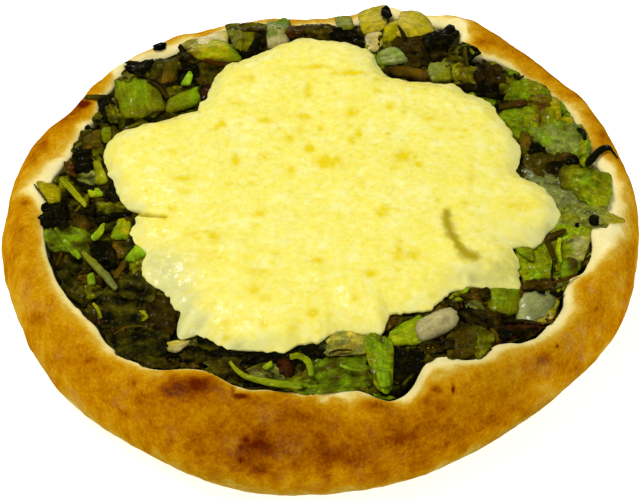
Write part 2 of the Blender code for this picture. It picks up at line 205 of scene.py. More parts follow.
def uneven(x, y, z, size):
    """Smooth noise from about -1 to 1, with bumps about `size` millimetres wide."""
    places = np.stack(np.broadcast_arrays(np.asarray(x, float), y, z), -1) / size
    cell = np.floor(places).astype(np.int64)
    inside = places - cell
    ease = inside ** 3 * (inside * (inside * 6.0 - 15.0) + 10.0)
    total = np.zeros(places.shape[:-1])
    for corner in itertools.product((0, 1), repeat=3):
        code = (cell + corner) * HASH_FACTORS
        code = (code[..., 0] ^ code[..., 1] ^ code[..., 2]) & HASH_MASK
        for factor in HASH_ROUNDS:
            code = (code * factor) & HASH_MASK
            code = code ^ (code >> 15)
        weight = np.prod(np.where(corner, ease, 1.0 - ease), axis=-1)
        for axis in range(3):
            slope = (code >> (SLOPE_BITS * axis) & SLOPE_MAX) * 2.0 / SLOPE_MAX - 1.0
            total += weight * slope * (inside[..., axis] - corner[axis])
    return total * NOISE_GAIN


def uneven_at(points, size, shift=0.0):
    return uneven(points[..., 0] + shift, points[..., 1], points[..., 2], size)


def ridged(x, y, z, size):
    """Noise from about -1 to 1 with sharp ridges and round hollows."""
    return 1.0 - 2.6 * np.abs(uneven(x, y, z, size))


def polar(angle, radius):
    turn = np.radians(angle)
    return radius * np.cos(turn), radius * np.sin(turn)


def angle_of(x, y):
    return np.degrees(np.arctan2(y, x))


def belly_radius(angle):
    return BELLY_RADIUS + raised(angle, BELLY_BULGES)


def lip_radius(angle):
    return LIP_RADIUS + raised(angle, LIP_FOLDS)


def crest_height(angle):
    return CREST_HEIGHT + raised(angle, CREST_WAVES + CREST_DETAIL)


def wall_radius(angle, height):
    """Inner wall's radius at a height under the lip.  The lip's folds fade out on the way down."""
    lip_height = crest_height(angle) - LIP_DROP
    down = held((lip_height - height) / (lip_height - FLOOR_HEIGHT))
    smoothed = sum(lip_radius(angle + turn) for turn in (-10.0, -5.0, 0.0, 5.0, 10.0)) / 5.0
    return lip_radius(angle) + (smoothed - lip_radius(angle)) * down - WALL_RUN * down ** 2


def free_radius(angle, height):
    """How far out the filling reaches at a height: the nearest wall a few degrees around, less some air."""
    near = [wall_radius(angle + turn, height) for turn in (-3.0, -1.5, 0.0, 1.5, 3.0)]
    return np.minimum.reduce(near) - CORE_CLEARANCE


def cheese_radius(angle):
    return CHEESE_RADIUS + raised(angle, CHEESE_LOBES)


def cheese_edge(angle):
    """The cheese's outline with the small irregularities that the part's source leaves out."""
    return cheese_radius(angle) + np.interp(angle % 360.0, *zip(*EDGE_DETAIL))


def slow_waves():
    line = np.arange(-WAVE_REACH, WAVE_REACH + 0.5 * WAVE_STEP, WAVE_STEP) / SHEET_WAVE
    return np.array([[noise.noise((x, y, 0.0)) * WAVE_GAIN for y in line] for x in line])


SHEET_WAVES = slow_waves()


def sample(grid, step, x, y):
    """A square grid's value at some places, with its middle cell on the bread's axis."""
    size = len(grid)
    across = np.clip(x / step + (size - 1) / 2.0, 0.0, size - 1.001)
    along = np.clip(y / step + (size - 1) / 2.0, 0.0, size - 1.001)
    i, j = across.astype(int), along.astype(int)
    s, t = across - i, along - j
    near = grid[i, j] * (1.0 - s) + grid[i + 1, j] * s
    far = grid[i, j + 1] * (1.0 - s) + grid[i + 1, j + 1] * s
    return near * (1.0 - t) + far * t


def sheet_height(x, y):
    """Level that the cheese's underside follows."""
    crown = SHEET_CROWN * (1.0 - (x * x + y * y) / LIP_RADIUS ** 2)
    return SHEET_HEIGHT + crown + SHEET_SLOPE * y + SHEET_UNEVEN * sample(SHEET_WAVES, WAVE_STEP, x, y)


def heap_height(x, y):
    """Top of the greens: just under the cheese, and lower and bumpier on the ring that shows."""
    angle = angle_of(x, y)
    beyond = np.hypot(x, y) - cheese_radius(angle)
    outside = smooth_step(beyond, 0.0, 3.0)
    bumps = RING_UNEVEN * uneven(x, y, 9.0, 5.0)
    far = FAR_RISE * raised(angle, ((FAR_ANGLE, FAR_SPREAD, 1.0),)) * smooth_step(beyond, 1.5, 5.5)
    return sheet_height(x, y) - GAP - outside * (RING_DIP + bumps) + far


def ring_height(x, y):
    """Level that the pieces lie on: the heap, banked up towards the rim and falling off again at its edge."""
    angle = angle_of(x, y)
    inner, outer = cheese_radius(angle), free_radius(angle, CORE_EDGE_HEIGHT)
    share = (np.hypot(x, y) - inner) / (outer - inner)
    banked = heap_height(x, y) + (BANK_RISE + raised(angle, BANK_SIDES)) * smooth_step(share, 0.3, 0.9)
    above_lip = np.maximum(0.0, banked - (crest_height(angle) - LIP_DROP + EDGE_ABOVE_LIP))
    return banked - above_lip * smooth_step(outer - np.hypot(x, y), EDGE_SLOPE_RUN, 0.0)


def rim_height(x, y):
    """Top of the crust from the lip out to the belly."""
    angle = angle_of(x, y)
    crest, lip = crest_height(angle), lip_radius(angle)
    out = np.hypot(x, y) - lip
    inward = held(1.0 - out / LIP_WIDTH)
    lip_side = crest - LIP_DROP * (1.0 - np.sqrt(1.0 - inward ** 2))
    outward = held((out - LIP_WIDTH) / (belly_radius(angle) - lip - LIP_WIDTH))
    shoulder = BELLY_HEIGHT + (crest - BELLY_HEIGHT) * np.sqrt(1.0 - outward ** 2)
    return np.where(out < LIP_WIDTH, lip_side, shoulder)


# ---- Places in the photograph ----


def pixel_of(points):
    """Pixels of the photograph at which the camera shows the points."""
    away = points - CAMERA_TARGET
    depth = CAMERA_DISTANCE - away @ TOWARDS_CAMERA
    up = away[..., 1] * math.sin(CAMERA_TILT) + away[..., 2] * math.cos(CAMERA_TILT)
    across = IMAGE_WIDTH / 2.0 + FOCAL_PIXELS * away[..., 0] / depth
    return across, IMAGE_HEIGHT / 2.0 - FOCAL_PIXELS * up / depth


def seen_through(across, down, z):
    """Places at height z that the camera shows at some pixels of the photograph."""
    eye = CAMERA_TARGET + CAMERA_DISTANCE * TOWARDS_CAMERA
    right, up = (across - IMAGE_WIDTH / 2.0) / FOCAL_PIXELS, (IMAGE_HEIGHT / 2.0 - down) / FOCAL_PIXELS
    ray_y = math.cos(CAMERA_TILT) + up * math.sin(CAMERA_TILT)
    ray_z = up * math.cos(CAMERA_TILT) - math.sin(CAMERA_TILT)
    steps = (z - eye[2]) / ray_z
    return eye[0] + right * steps, eye[1] + ray_y * steps


def near_places(table, across, down):
    """Sum of soft ovals given in pixels."""
    total = np.zeros_like(across)
    for centre, height, wide, high, amount in table:
        total += amount * np.exp(-((across - centre) / wide) ** 2 - ((down - height) / high) ** 2)
    return total


# ---- Meshes ----


def add_object(name, data):
    """New object in the scene."""
    thing = bpy.data.objects.new(name, data)
    bpy.context.scene.collection.objects.link(thing)
    return thing


def new_piece(name, points, faces, material, node, **values):
    """Mesh object in place of a node.  `values` are each point's numbers or colours, for the material."""
    mesh = bpy.data.meshes.new(name)
    mesh.from_pydata((points * MM).tolist(), [], faces)
    for label, value in values.items():
        kind, field = ("FLOAT", "value") if value.ndim == 1 else ("FLOAT_COLOR", "color")
        layer = mesh.attributes.new(label, kind, "POINT")
        layer.data.foreach_set(field, value.astype(np.float32).ravel())
    mesh.materials.append(material)
    mesh.shade_smooth()
    piece = add_object(name, mesh)
    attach(piece, "root")
    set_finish(piece, node)
    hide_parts(node)


def ring_piece(name, points, material, node, **values):
    """Piece made of closed rings, whose points and values are given as grids with a ring in each row."""
    values = {label: with_middles(value) for label, value in values.items()}
    new_piece(name, with_middles(points), round_faces(len(points)), material, node, **values)


def round_faces(rows):
    """Faces of a closed solid with one ring of ANGLES points a row, and a middle point below and above."""
    here = np.arange(ANGLES)
    there = (here + 1) % ANGLES
    faces = []
    for row in range(rows - 1):
        low, high = row * ANGLES, (row + 1) * ANGLES
        faces += np.stack([low + here, low + there, high + there, high + here], 1).tolist()
    below, above = rows * ANGLES, rows * ANGLES + 1
    last = (rows - 1) * ANGLES
    faces += [(below, int(b), int(a)) for a, b in zip(here, there)]
    faces += [(above, int(last + a), int(last + b)) for a, b in zip(here, there)]
    return faces


def ring_normals(points):
    """Outward unit normals of a grid of rings."""
    around = np.roll(points, -1, 1) - np.roll(points, 1, 1)
    normal = np.cross(around, np.gradient(points, axis=0))
    return normal / (np.linalg.norm(normal, axis=2, keepdims=True) + 1e-9)


def with_middles(grid):
    """A grid's points or values in one list, with the mean of its first ring and that of its last."""
    return np.concatenate([grid.reshape(-1, *grid.shape[2:]), grid[:1].mean(1), grid[-1:].mean(1)])


# ---- Materials ----


def start_material(name):
    """New material, its node tree and its shader."""
    material = bpy.data.materials.new(name)
    material.use_nodes = True
    tree = material.node_tree
    return material, tree, tree.nodes["Principled BSDF"]


def set_inputs(tree, node, inputs):
    """Sets a node's inputs to values, or links them to sockets."""
    for label, value in inputs.items():
        if isinstance(value, bpy.types.NodeSocket):
            tree.links.new(value, node.inputs[label])
        else:
            node.inputs[label].default_value = value


def add_node(tree, kind, inputs, **settings):
    """New node with its own settings and its inputs."""
    node = tree.nodes.new(kind)
    for label, value in settings.items():
        setattr(node, label, value)
    set_inputs(tree, node, inputs)
    return node


def read_value(tree, label, kind="Fac"):
    return add_node(tree, "ShaderNodeAttribute", {}, attribute_name=label).outputs[kind]


def grain(tree, size, detail=3.0, roughness=0.55):
    """Noise with bumps about `size` millimetres wide, from 0 to 1, fixed to the object."""
    place = add_node(tree, "ShaderNodeTexCoord", {}).outputs["Object"]
    settings = {"Vector": place, "Scale": 1.0 / (size * MM), "Detail": detail, "Roughness": roughness}
    return add_node(tree, "ShaderNodeTexNoise", settings).outputs["Fac"]


def span(tree, value, low, high, new_low, new_high):
    """Value moved from one range to another and held inside it."""
    settings = {"Value": value, "From Min": low, "From Max": high, "To Min": new_low, "To Max": new_high}
    return add_node(tree, "ShaderNodeMapRange", settings).outputs["Result"]


def calculate(tree, operation, first, second):
    return add_node(tree, "ShaderNodeMath", {0: first, 1: second}, operation=operation).outputs[0]


def times(tree, first, second):
    return calculate(tree, "MULTIPLY", first, second)


def mix_colours(tree, share, first, second, blend="MIX"):
    """One colour over another.  Each is a socket or a tuple."""
    first, second = ((*tone, 1.0) if isinstance(tone, tuple) else tone for tone in (first, second))
    inputs = {0: share, 6: first, 7: second}
    return add_node(tree, "ShaderNodeMix", inputs, data_type="RGBA", blend_type=blend).outputs[2]


def layered(tree, colour, layers):
    """Colour with others laid over it, each by its own share."""
    for share, tone in layers:
        colour = mix_colours(tree, share, colour, tone)
    return colour


def colour_ramp(tree, value, stops):
    node = add_node(tree, "ShaderNodeValToRGB", {"Fac": value})
    points = node.color_ramp.elements
    while len(points) < len(stops):
        points.new(0.5)
    for point, (place, colour) in zip(points, stops):
        point.position = place
        point.color = (*colour, 1.0)
    return node.outputs["Color"]


def bump(tree, height, distance, strength=1.0, under=None):
    settings = {"Height": height, "Distance": distance * MM, "Strength": strength}
    if under:
        settings["Normal"] = under
    return add_node(tree, "ShaderNodeBump", settings).outputs["Normal"]


# ---- Crust ----

# How the crust browns along its section: 0 at the lip, 1 at the crest, 2 at the belly, 3 at the foot.
BROWNING = (
    (-1.0, 0.02), (0.0, 0.02), (0.32, 0.07), (0.5, 0.30), (0.75, 0.66), (1.1, 0.88), (1.5, 1.0),
    (1.8, 0.94), (2.0, 0.80), (2.3, 0.56), (3.0, 0.36), (4.0, 0.55),
)
# How much further out than that the browning starts, at some angles round the rim.
CREAM_REACH = (
    (0, 0.65), (4, 0.5), (8, 0.5), (11, 0.5), (14, 0.2), (20, 0.08), (30, -0.06), (45, -0.08), (50, 0.0),
    (54, 0.25), (58, 0.6), (61, 0.9), (64, 0.4), (68, 0.45), (75, 0.6), (90, 0.3), (100, 0.25), (112, 0.5),
    (125, 0.5), (134, 0.4), (137, 0.8), (139, 0.6), (141, 0.0), (146, -0.15), (153, -0.1), (160, 0.1),
    (169, 0.15), (174, 0.7), (178, 1.1), (182, 0.2), (186, -0.2), (200, -0.2), (206, 0.0), (215, 0.06),
    (230, 0.04), (238, -0.18), (249, -0.28), (253, 0.0), (257, -0.15), (263, -0.22), (266, 0.15),
    (272, 0.25), (275, 0.6), (278, 0.4), (281, -0.05), (284, -0.05), (287, 0.35), (290, 0.5), (296, 0.6),
    (301, 0.3), (310, 0.3), (318, 0.25), (328, 0.3), (335, 0.05), (340, 0.25), (345, 0.6), (350, 0.9),
    (355, 0.9), (360, 0.65),
)
# Angle, half width in degrees and how much browner than the palest part.
BROWN_SIDES = (
    (262, 40, 0.22), (292, 32, 0.14), (225, 30, 0.06), (155, 22, 0.14), (45, 40, 0.06), (340, 24, 0.06),
    (0, 14, -0.08),
)
PALEST_SIDE = 0.65
# Painted shade on the sides that get less light: angle, half width in degrees and how much darker.
PAINTED_SHADE_SIDES = ((306, 34, 0.15), (262, 34, 0.12), (30, 30, 0.05))
# Browner places that the photograph doesn't show: angle, place along the section, half size along the rim and
# across it in mm, and how much browner.
BACK_MARKS = (
    (62, 1.5, 4.0, 2.2, 0.20), (78, 1.3, 3.0, 1.8, 0.16), (95, 1.6, 5.0, 2.4, 0.22),
    (112, 1.4, 3.6, 2.0, 0.18), (126, 1.6, 4.0, 2.6, 0.16), (140, 1.7, 3.0, 2.0, 0.14),
    (30, 1.8, 4.0, 2.0, 0.14),
)
# Those that it shows: pixel, half sizes in pixels and how much browner.
FRONT_MARKS = (
    (262, 446, 19, 16, 0.26), (255, 447, 12, 12, 0.12), (246, 440, 2.5, 3, 0.5), (241, 447, 2.5, 3, 0.5),
    (241, 460, 2.5, 3, 0.45), (250, 470, 22, 8, 0.10), (190, 386, 24, 9, 0.48), (174, 394, 16, 8, 0.20),
    (206, 381, 8, 6, 0.15), (241, 396, 7, 3, 0.9), (233, 389, 2, 5, 0.5), (300, 414, 14, 6, 0.12),
    (372, 403, 14, 6, 0.30), (356, 394, 10, 4, 0.2), (400, 440, 18, 8, 0.16), (340, 455, 22, 12, 0.12),
    (427, 400, 8, 6, 0.2), (436, 389, 8, 5, 0.28), (453, 389, 1.3, 5, 0.8), (466, 385, 3, 3, 0.2),
    (480, 377, 4, 3, 0.14), (442, 408, 14, 6, 0.14), (543, 360, 7, 5, 0.3), (557, 346, 1.5, 1.5, 0.7),
    (575, 366, 14, 9, 0.1), (520, 410, 10, 6, 0.15), (490, 422, 14, 8, 0.12), (596, 309, 2, 2, 0.3),
    (584, 290, 5, 4, 0.16), (92, 360, 7, 5, 0.28), (104, 369, 8, 5, 0.14), (133, 384, 5, 5, 0.3),
    (142, 396, 10, 6, 0.12), (37, 317, 7, 6, 0.28), (50, 298, 8, 8, 0.1), (24, 202, 6, 4, 0.34),
    (20, 226, 5, 14, 0.12), (84, 104, 7, 4, 0.85), (74, 113, 10, 5, 0.26), (66, 121, 8, 4, 0.24),
    (45, 145, 8, 7, 0.24), (34, 161, 6, 8, 0.16), (620, 175, 6, 9, 0.28), (590, 114, 10, 4, 0.14),
    (570, 95, 12, 4, 0.15), (602, 136, 5, 8, 0.15), (482, 42, 12, 4, 0.18), (512, 56, 10, 4, 0.12),
    (546, 77, 10, 4, 0.15), (612, 232, 16, 13, -0.5), (613, 298, 9, 14, -0.18), (621, 282, 5, 10, -0.12),
    (548, 389, 12, 8, -0.22), (16, 300, 8, 24, -0.16), (322, 401, 7, 4, -0.3), (160, 374, 8, 3, -0.2),
    (205, 415, 30, 10, -0.06), (460, 30, 4, 12, -0.4), (470, 44, 10, 5, 0.25),
)
# Angle, place along the section, half size along the rim and across it in mm, and depth in mm.
CREASES = (
    (254.5, 1.0, 1.6, 4.0, 0.7), (270.5, 0.95, 1.3, 3.2, 0.6), (285.5, 1.05, 2.2, 5.0, 0.8),
    (304, 1.1, 1.6, 3.0, 0.4), (262, 1.1, 1.0, 2.4, 0.25), (234, 1.05, 1.4, 3.0, 0.4),
    (218, 1.0, 1.2, 3.0, 0.3), (322, 1.0, 1.4, 3.2, 0.4), (340, 1.0, 1.6, 3.0, 0.35),
    (192, 1.0, 1.4, 3.0, 0.3), (160, 0.9, 1.5, 3.0, 0.4), (12, 0.9, 1.2, 3.0, 0.5),
    (57, 0.8, 1.4, 4.0, 0.5), (257, 1.48, 0.5, 0.5, 0.3), (256.5, 1.6, 0.45, 0.45, 0.3),
    (256.5, 1.72, 0.5, 0.5, 0.3),
)
SECTION_SCALE = 11.0        # millimetres along the section for a step of 1 in the place along it
SPREAD_RADIUS = 57.0        # radius at which the spots' widths are measured
FLOURY_SIDES = ((336, 42, 1.0), (216, 34, 0.6), (262, 50, 0.3))
# Rows of the section: round the foot, up to the crest, over to the lip and down the inner wall.
FOOT_ROWS = 14
SHOULDER_ROWS = 52
LIP_ROWS = 14
WALL_ROWS = 14
CRUST_TONES = (
    (0.00, (0.96, 0.85, 0.42)), (0.14, (0.88, 0.68, 0.20)), (0.28, (0.66, 0.40, 0.03)),
    (0.44, (0.58, 0.27, 0.001)), (0.60, (0.44, 0.155, 0.0)), (0.76, (0.27, 0.066, 0.0)),
    (0.95, (0.12, 0.012, 0.0)),
)
FLOUR_TONE = (0.62, 0.44, 0.14)
SPECK_TONE = (0.68, 0.42, 0.03)
DARK_SPECK_TONE = (0.34, 0.09, 0.0)
OIL_TONE = (0.48, 0.43, 0.05)
YELLOWER_TONE = (0.84, 0.66, 0.16)


def quarter_turn(rows):
    """Angles from 0 up to a quarter of a turn, which itself is left out."""
    return np.radians(np.linspace(0.0, 90.0, rows + 1)[:-1])


def crust_rows(angle):
    """Radius, height and place along the section, one row after another, from the underside to the floor."""
    belly = belly_radius(angle) + raised(angle, BELLY_DETAIL)
    crest, lip = crest_height(angle), lip_radius(angle)
    flat = np.ones_like(angle)
    rows = [((belly - FOOT_INSET) * share, 0.0 * flat, 4.0 - share) for share in (0.2, 0.5, 0.75, 0.9, 0.96)]
    for turn in quarter_turn(FOOT_ROWS):
        radius = belly - FOOT_INSET * (1.0 - math.sin(turn))
        rows.append((radius, BELLY_HEIGHT * (1.0 - math.cos(turn)) * flat, 3.0 - turn / QUARTER))
    for turn in quarter_turn(SHOULDER_ROWS):
        radius = lip + LIP_WIDTH + (belly - lip - LIP_WIDTH) * math.cos(turn)
        height = BELLY_HEIGHT + (crest - BELLY_HEIGHT) * math.sin(turn)
        swell = CRUST_UNEVEN * uneven(*polar(angle, radius), height, 12.0) * math.cos(turn) ** 0.5
        rows.append((radius + swell, height, 2.0 - turn / QUARTER))
    for turn in quarter_turn(LIP_ROWS):
        radius = lip + LIP_WIDTH * (1.0 - math.sin(turn))
        rows.append((radius, crest - LIP_DROP * (1.0 - math.cos(turn)), 1.0 - turn / QUARTER))
    lip_height = crest - LIP_DROP
    for share in np.linspace(0.0, 1.0, WALL_ROWS):
        height = lip_height + (FLOOR_HEIGHT - lip_height) * share
        rows.append((wall_radius(angle, height), height, -share))
    floor = wall_radius(angle, FLOOR_HEIGHT * flat)
    rows += [(floor * share, FLOOR_HEIGHT * flat, -1.0) for share in (0.9, 0.6, 0.3)]
    return rows


def spots(table, angle, along):
    """Sum of soft spots on the crust: angle, place along the section, two half sizes and an amount."""
    total = np.zeros_like(angle)
    for centre, place, wide, high, amount in table:
        sideways = np.radians((angle - centre + 180.0) % 360.0 - 180.0) * SPREAD_RADIUS / wide
        upward = (along - place) * SECTION_SCALE / high
        total += amount * np.exp(-(sideways ** 2 + upward ** 2))
    return total


def make_crust():
    """Baked crust, with its browning, bloom, oil and painted shade as numbers for each point."""
    rows = crust_rows(TURN)
    radius, height = np.array([row[0] for row in rows]), np.array([row[1] for row in rows])
    along = np.array([np.full(ANGLES, row[2]) for row in rows])
    angle = np.broadcast_to(TURN, radius.shape)
    points = np.stack([*polar(angle, radius), height], 2)

    outside = smooth_step(along, -0.4, 0.2) * (1.0 - smooth_step(along, 2.7, 3.0))
    coarse, medium, fine = (uneven_at(points, size, 40.0) for size in (7.0, 3.0, 1.3))
    relief = 0.22 * coarse + 0.10 * medium + 0.045 * fine
    lip = np.exp(-((along - 0.35) / 0.45) ** 2)
    relief += lip * (0.22 * uneven(angle * 0.9, 0.0, 70.0, 4.0) + 0.10 * medium)
    relief -= spots(CREASES, angle, along)
    points = points + ring_normals(points) * (relief * outside)[..., None]

    place = along - 0.14 * uneven_at(points, 6.0, 11.0) - 0.09 * medium - 0.04 * fine
    place = place - np.interp(angle, *zip(*CREAM_REACH)) * np.exp(-((along - 0.7) / 0.8) ** 2)
    toast = np.interp(place, *zip(*BROWNING)) * (PALEST_SIDE + raised(angle, BROWN_SIDES))
    facing = smooth_step(ring_normals(points) @ TOWARDS_CAMERA, -0.05, 0.4)
    marks = spots(BACK_MARKS, angle, along) + near_places(FRONT_MARKS, *pixel_of(points)) * facing
    toast += marks * (1.0 + 0.20 * medium + 0.30 * fine)
    shown = smooth_step(place, 0.5, 1.2)
    toast += shown * (0.07 * coarse + 0.05 * medium + 0.04 * fine) - 0.12 * smooth_step(along, 2.0, 2.4)
    flour = smooth_step(uneven_at(points, 5.0, 90.0) + 0.5 * fine, 0.1, 0.9)
    flour *= smooth_step(raised(angle, FLOURY_SIDES) * shown)
    oil = np.exp(-((along + 0.1) / 0.28) ** 2)
    # Painted shade: darker on the sides that get less light and towards the foot, by the floor.
    shade = 1.0 - raised(angle, PAINTED_SHADE_SIDES) - 0.34 * smooth_step(along, 1.75, 2.3)
    material = crust_material()
    ring_piece("baked_crust", points, material, "crust", toast=toast, flour=flour, oil=oil, shade=shade)


def crust_material():
    material, tree, shader = start_material("baked_dough")
    mottle = calculate(tree, "ADD", span(tree, grain(tree, 2.2), 0.3, 0.7, -0.10, 0.10),
                       span(tree, grain(tree, 0.6, 3.0, 0.7), 0.3, 0.7, -0.11, 0.11))
    toast = read_value(tree, "toast")
    strength = span(tree, toast, 0.05, 0.5, 0.15, 1.0)
    toast = calculate(tree, "ADD", toast, times(tree, mottle, strength))
    floury = span(tree, grain(tree, 0.5, 2.0), 0.4, 0.62, 0.2, 1.0)
    specks = span(tree, grain(tree, 0.7, 2.0, 0.5), 0.58, 0.74, 0.0, 0.34)
    specks = times(tree, specks, span(tree, toast, 0.5, 0.85, 1.0, 0.1))
    dark_specks = span(tree, grain(tree, 0.8, 4.0, 0.7), 0.60, 0.72, 0.0, 0.5)
    oily = span(tree, grain(tree, 2.6, 3.0), 0.40, 0.62, 0.0, 0.75)
    yellower = span(tree, grain(tree, 1.8, 4.0, 0.65), 0.42, 0.66, 0.0, 0.55)
    colour = layered(tree, colour_ramp(tree, times(tree, toast, 0.8), CRUST_TONES), (
        (times(tree, times(tree, read_value(tree, "flour"), floury), 0.45), FLOUR_TONE),
        (times(tree, specks, strength), SPECK_TONE),
        (times(tree, dark_specks, strength), DARK_SPECK_TONE),
        (times(tree, read_value(tree, "oil"), oily), OIL_TONE),
        (times(tree, calculate(tree, "SUBTRACT", 1.0, strength), yellower), YELLOWER_TONE),
    ))
    # The painted shade darkens the colour.
    colour = mix_colours(tree, 1.0, colour, read_value(tree, "shade", "Color"), "MULTIPLY")
    normal = bump(tree, grain(tree, 0.5, 3.0, 0.5), 0.10, 0.45)
    set_inputs(tree, shader, {
        "Base Color": colour,
        "Roughness": span(tree, toast, 0.1, 0.9, 0.72, 0.5),
        "Specular IOR Level": 0.0,
        "Normal": bump(tree, grain(tree, 2.4, 3.0), 0.25, 0.4, normal),
    })
    return material


# ---- Cheese ----

# Deeper yellow spots that show in the photograph: pixel, half sizes in pixels and strength.
YELLOW_SPOTS = (
    (308, 90, 4, 8, 0.7), (318, 66, 9, 2, 0.6), (350, 73, 18, 2.2, 0.9), (378, 79, 6, 2, 0.5),
    (377, 90, 3, 2, 0.8), (315, 79, 3, 2, 0.5), (353, 112, 6, 4, 0.8), (303, 116, 7, 4, 0.7),
    (390, 106, 4, 3, 0.6), (404, 112, 3, 2, 0.8), (430, 119, 7, 2.5, 0.6), (440, 129, 4, 2, 0.6),
    (465, 130, 3, 2, 0.5), (320, 128, 4, 3, 0.6), (358, 133, 4, 5, 0.7), (352, 141, 4, 4, 0.6),
    (310, 148, 4, 3, 1.0), (328, 162, 13, 6, 1.0), (403, 156, 8, 6, 0.9), (419, 164, 4, 3, 0.8),
    (395, 168, 5, 2.5, 0.5), (361, 183, 5, 3, 0.5), (472, 178, 3, 9, 0.4), (383, 212, 7, 5, 0.8),
    (398, 253, 7, 9, 0.6), (414, 254, 8, 5, 0.7), (465, 206, 4, 3, 0.4), (520, 205, 18, 7, 0.4),
    (438, 200, 3, 3, 0.4), (173, 208, 5, 3.5, 0.7), (165, 216, 5, 4, 0.7), (190, 233, 11, 5, 0.4),
    (214, 237, 6, 6, 0.8), (260, 214, 5, 4, 0.8), (255, 226, 3, 3, 0.5), (318, 260, 6, 3, 0.7),
    (254, 289, 5, 5, 0.9), (258, 272, 12, 4, 0.4), (265, 298, 6, 4, 0.5), (313, 313, 6, 4, 1.0),
    (262, 324, 5, 4, 0.5), (226, 324, 5, 5, 0.5), (226, 338, 4, 3, 0.6), (295, 328, 7, 9, 0.3),
    (222, 123, 5, 4, 0.8), (182, 178, 9, 3, 0.8), (236, 160, 4, 6, 0.9), (264, 157, 5, 4, 0.6),
    (289, 139, 5, 4, 0.7), (309, 149, 4, 3, 0.8), (292, 169, 4, 4, 0.7), (250, 78, 8, 4, 0.6),
    (265, 120, 9, 3, 0.7), (184, 192, 5, 3, 0.6), (172, 151, 4, 4, 0.4), (371, 273, 5, 4, 1.0),
    (356, 298, 4, 4, 0.6), (200, 258, 22, 9, 0.25), (300, 130, 4, 4, 0.5), (252, 184, 4, 3, 0.5),
    (312, 68, 20, 2, 0.4), (240, 103, 12, 3, 0.4),
)
# Where the sheet is thin and whitish, and where it is so thin that the greens show through: as for the spots.
WHITISH_PLACES = (
    (163, 272, 24, 22, 1.0), (182, 300, 16, 26, 1.0), (192, 325, 18, 16, 1.0), (130, 215, 12, 18, 0.4),
    (114, 190, 8, 26, 0.4), (245, 345, 30, 9, 0.6), (470, 275, 22, 14, 0.7), (540, 235, 22, 14, 0.9),
    (553, 205, 9, 22, 0.7), (205, 88, 22, 12, 0.5), (370, 60, 14, 10, 0.5), (515, 150, 8, 22, 0.5),
    (490, 230, 24, 20, 0.3),
)
THIN_PLACES = (
    (505, 270, 26, 14, 0.8), (520, 280, 8, 8, 0.3), (548, 228, 7, 7, 0.7), (162, 262, 16, 14, 0.3),
    (238, 345, 8, 6, 0.5), (180, 285, 14, 18, 0.2), (470, 278, 14, 7, 0.5),
)
# Cuts through the sheet: half width in pixels at its start and its end, depth in mm and pixels along it.
CUTS = (
    (5.0, 6.0, 0.06, (446, 213), (447, 222), (452, 235), (459, 246), (466, 254), (475, 256)),
    (2.6, 0.8, 0.5, (118, 214), (140, 214), (152, 215), (166, 216)),
)
THIN_EDGE = 0.6             # thickness where the sheet's rounded edge begins
EDGE_DROP = 0.35            # how far the edge sags onto the greens
CHEESE_TONES = {
    "sheet": (0.97, 0.90, 0.26), "mottle": (0.93, 0.80, 0.085), "rich": (0.94, 0.80, 0.07),
    "light": (0.98, 0.94, 0.42), "white": (0.76, 0.74, 0.29), "thin": (0.46, 0.45, 0.11),
    "spot": (0.84, 0.66, 0.0), "cut": (0.44, 0.34, 0.004),
}
EDGE_CURVE = 3.8            # how far in from its edge the sheet gains most of its thickness
WOBBLE_FADE = 0.8           # how far in the edge's finest irregularities reach
TOP_ROWS = 90
SMALL_SPOTS = 200
SPOT_REACH = 36.0           # how far from the middle the small spots lie
SPOT_SEED = 7


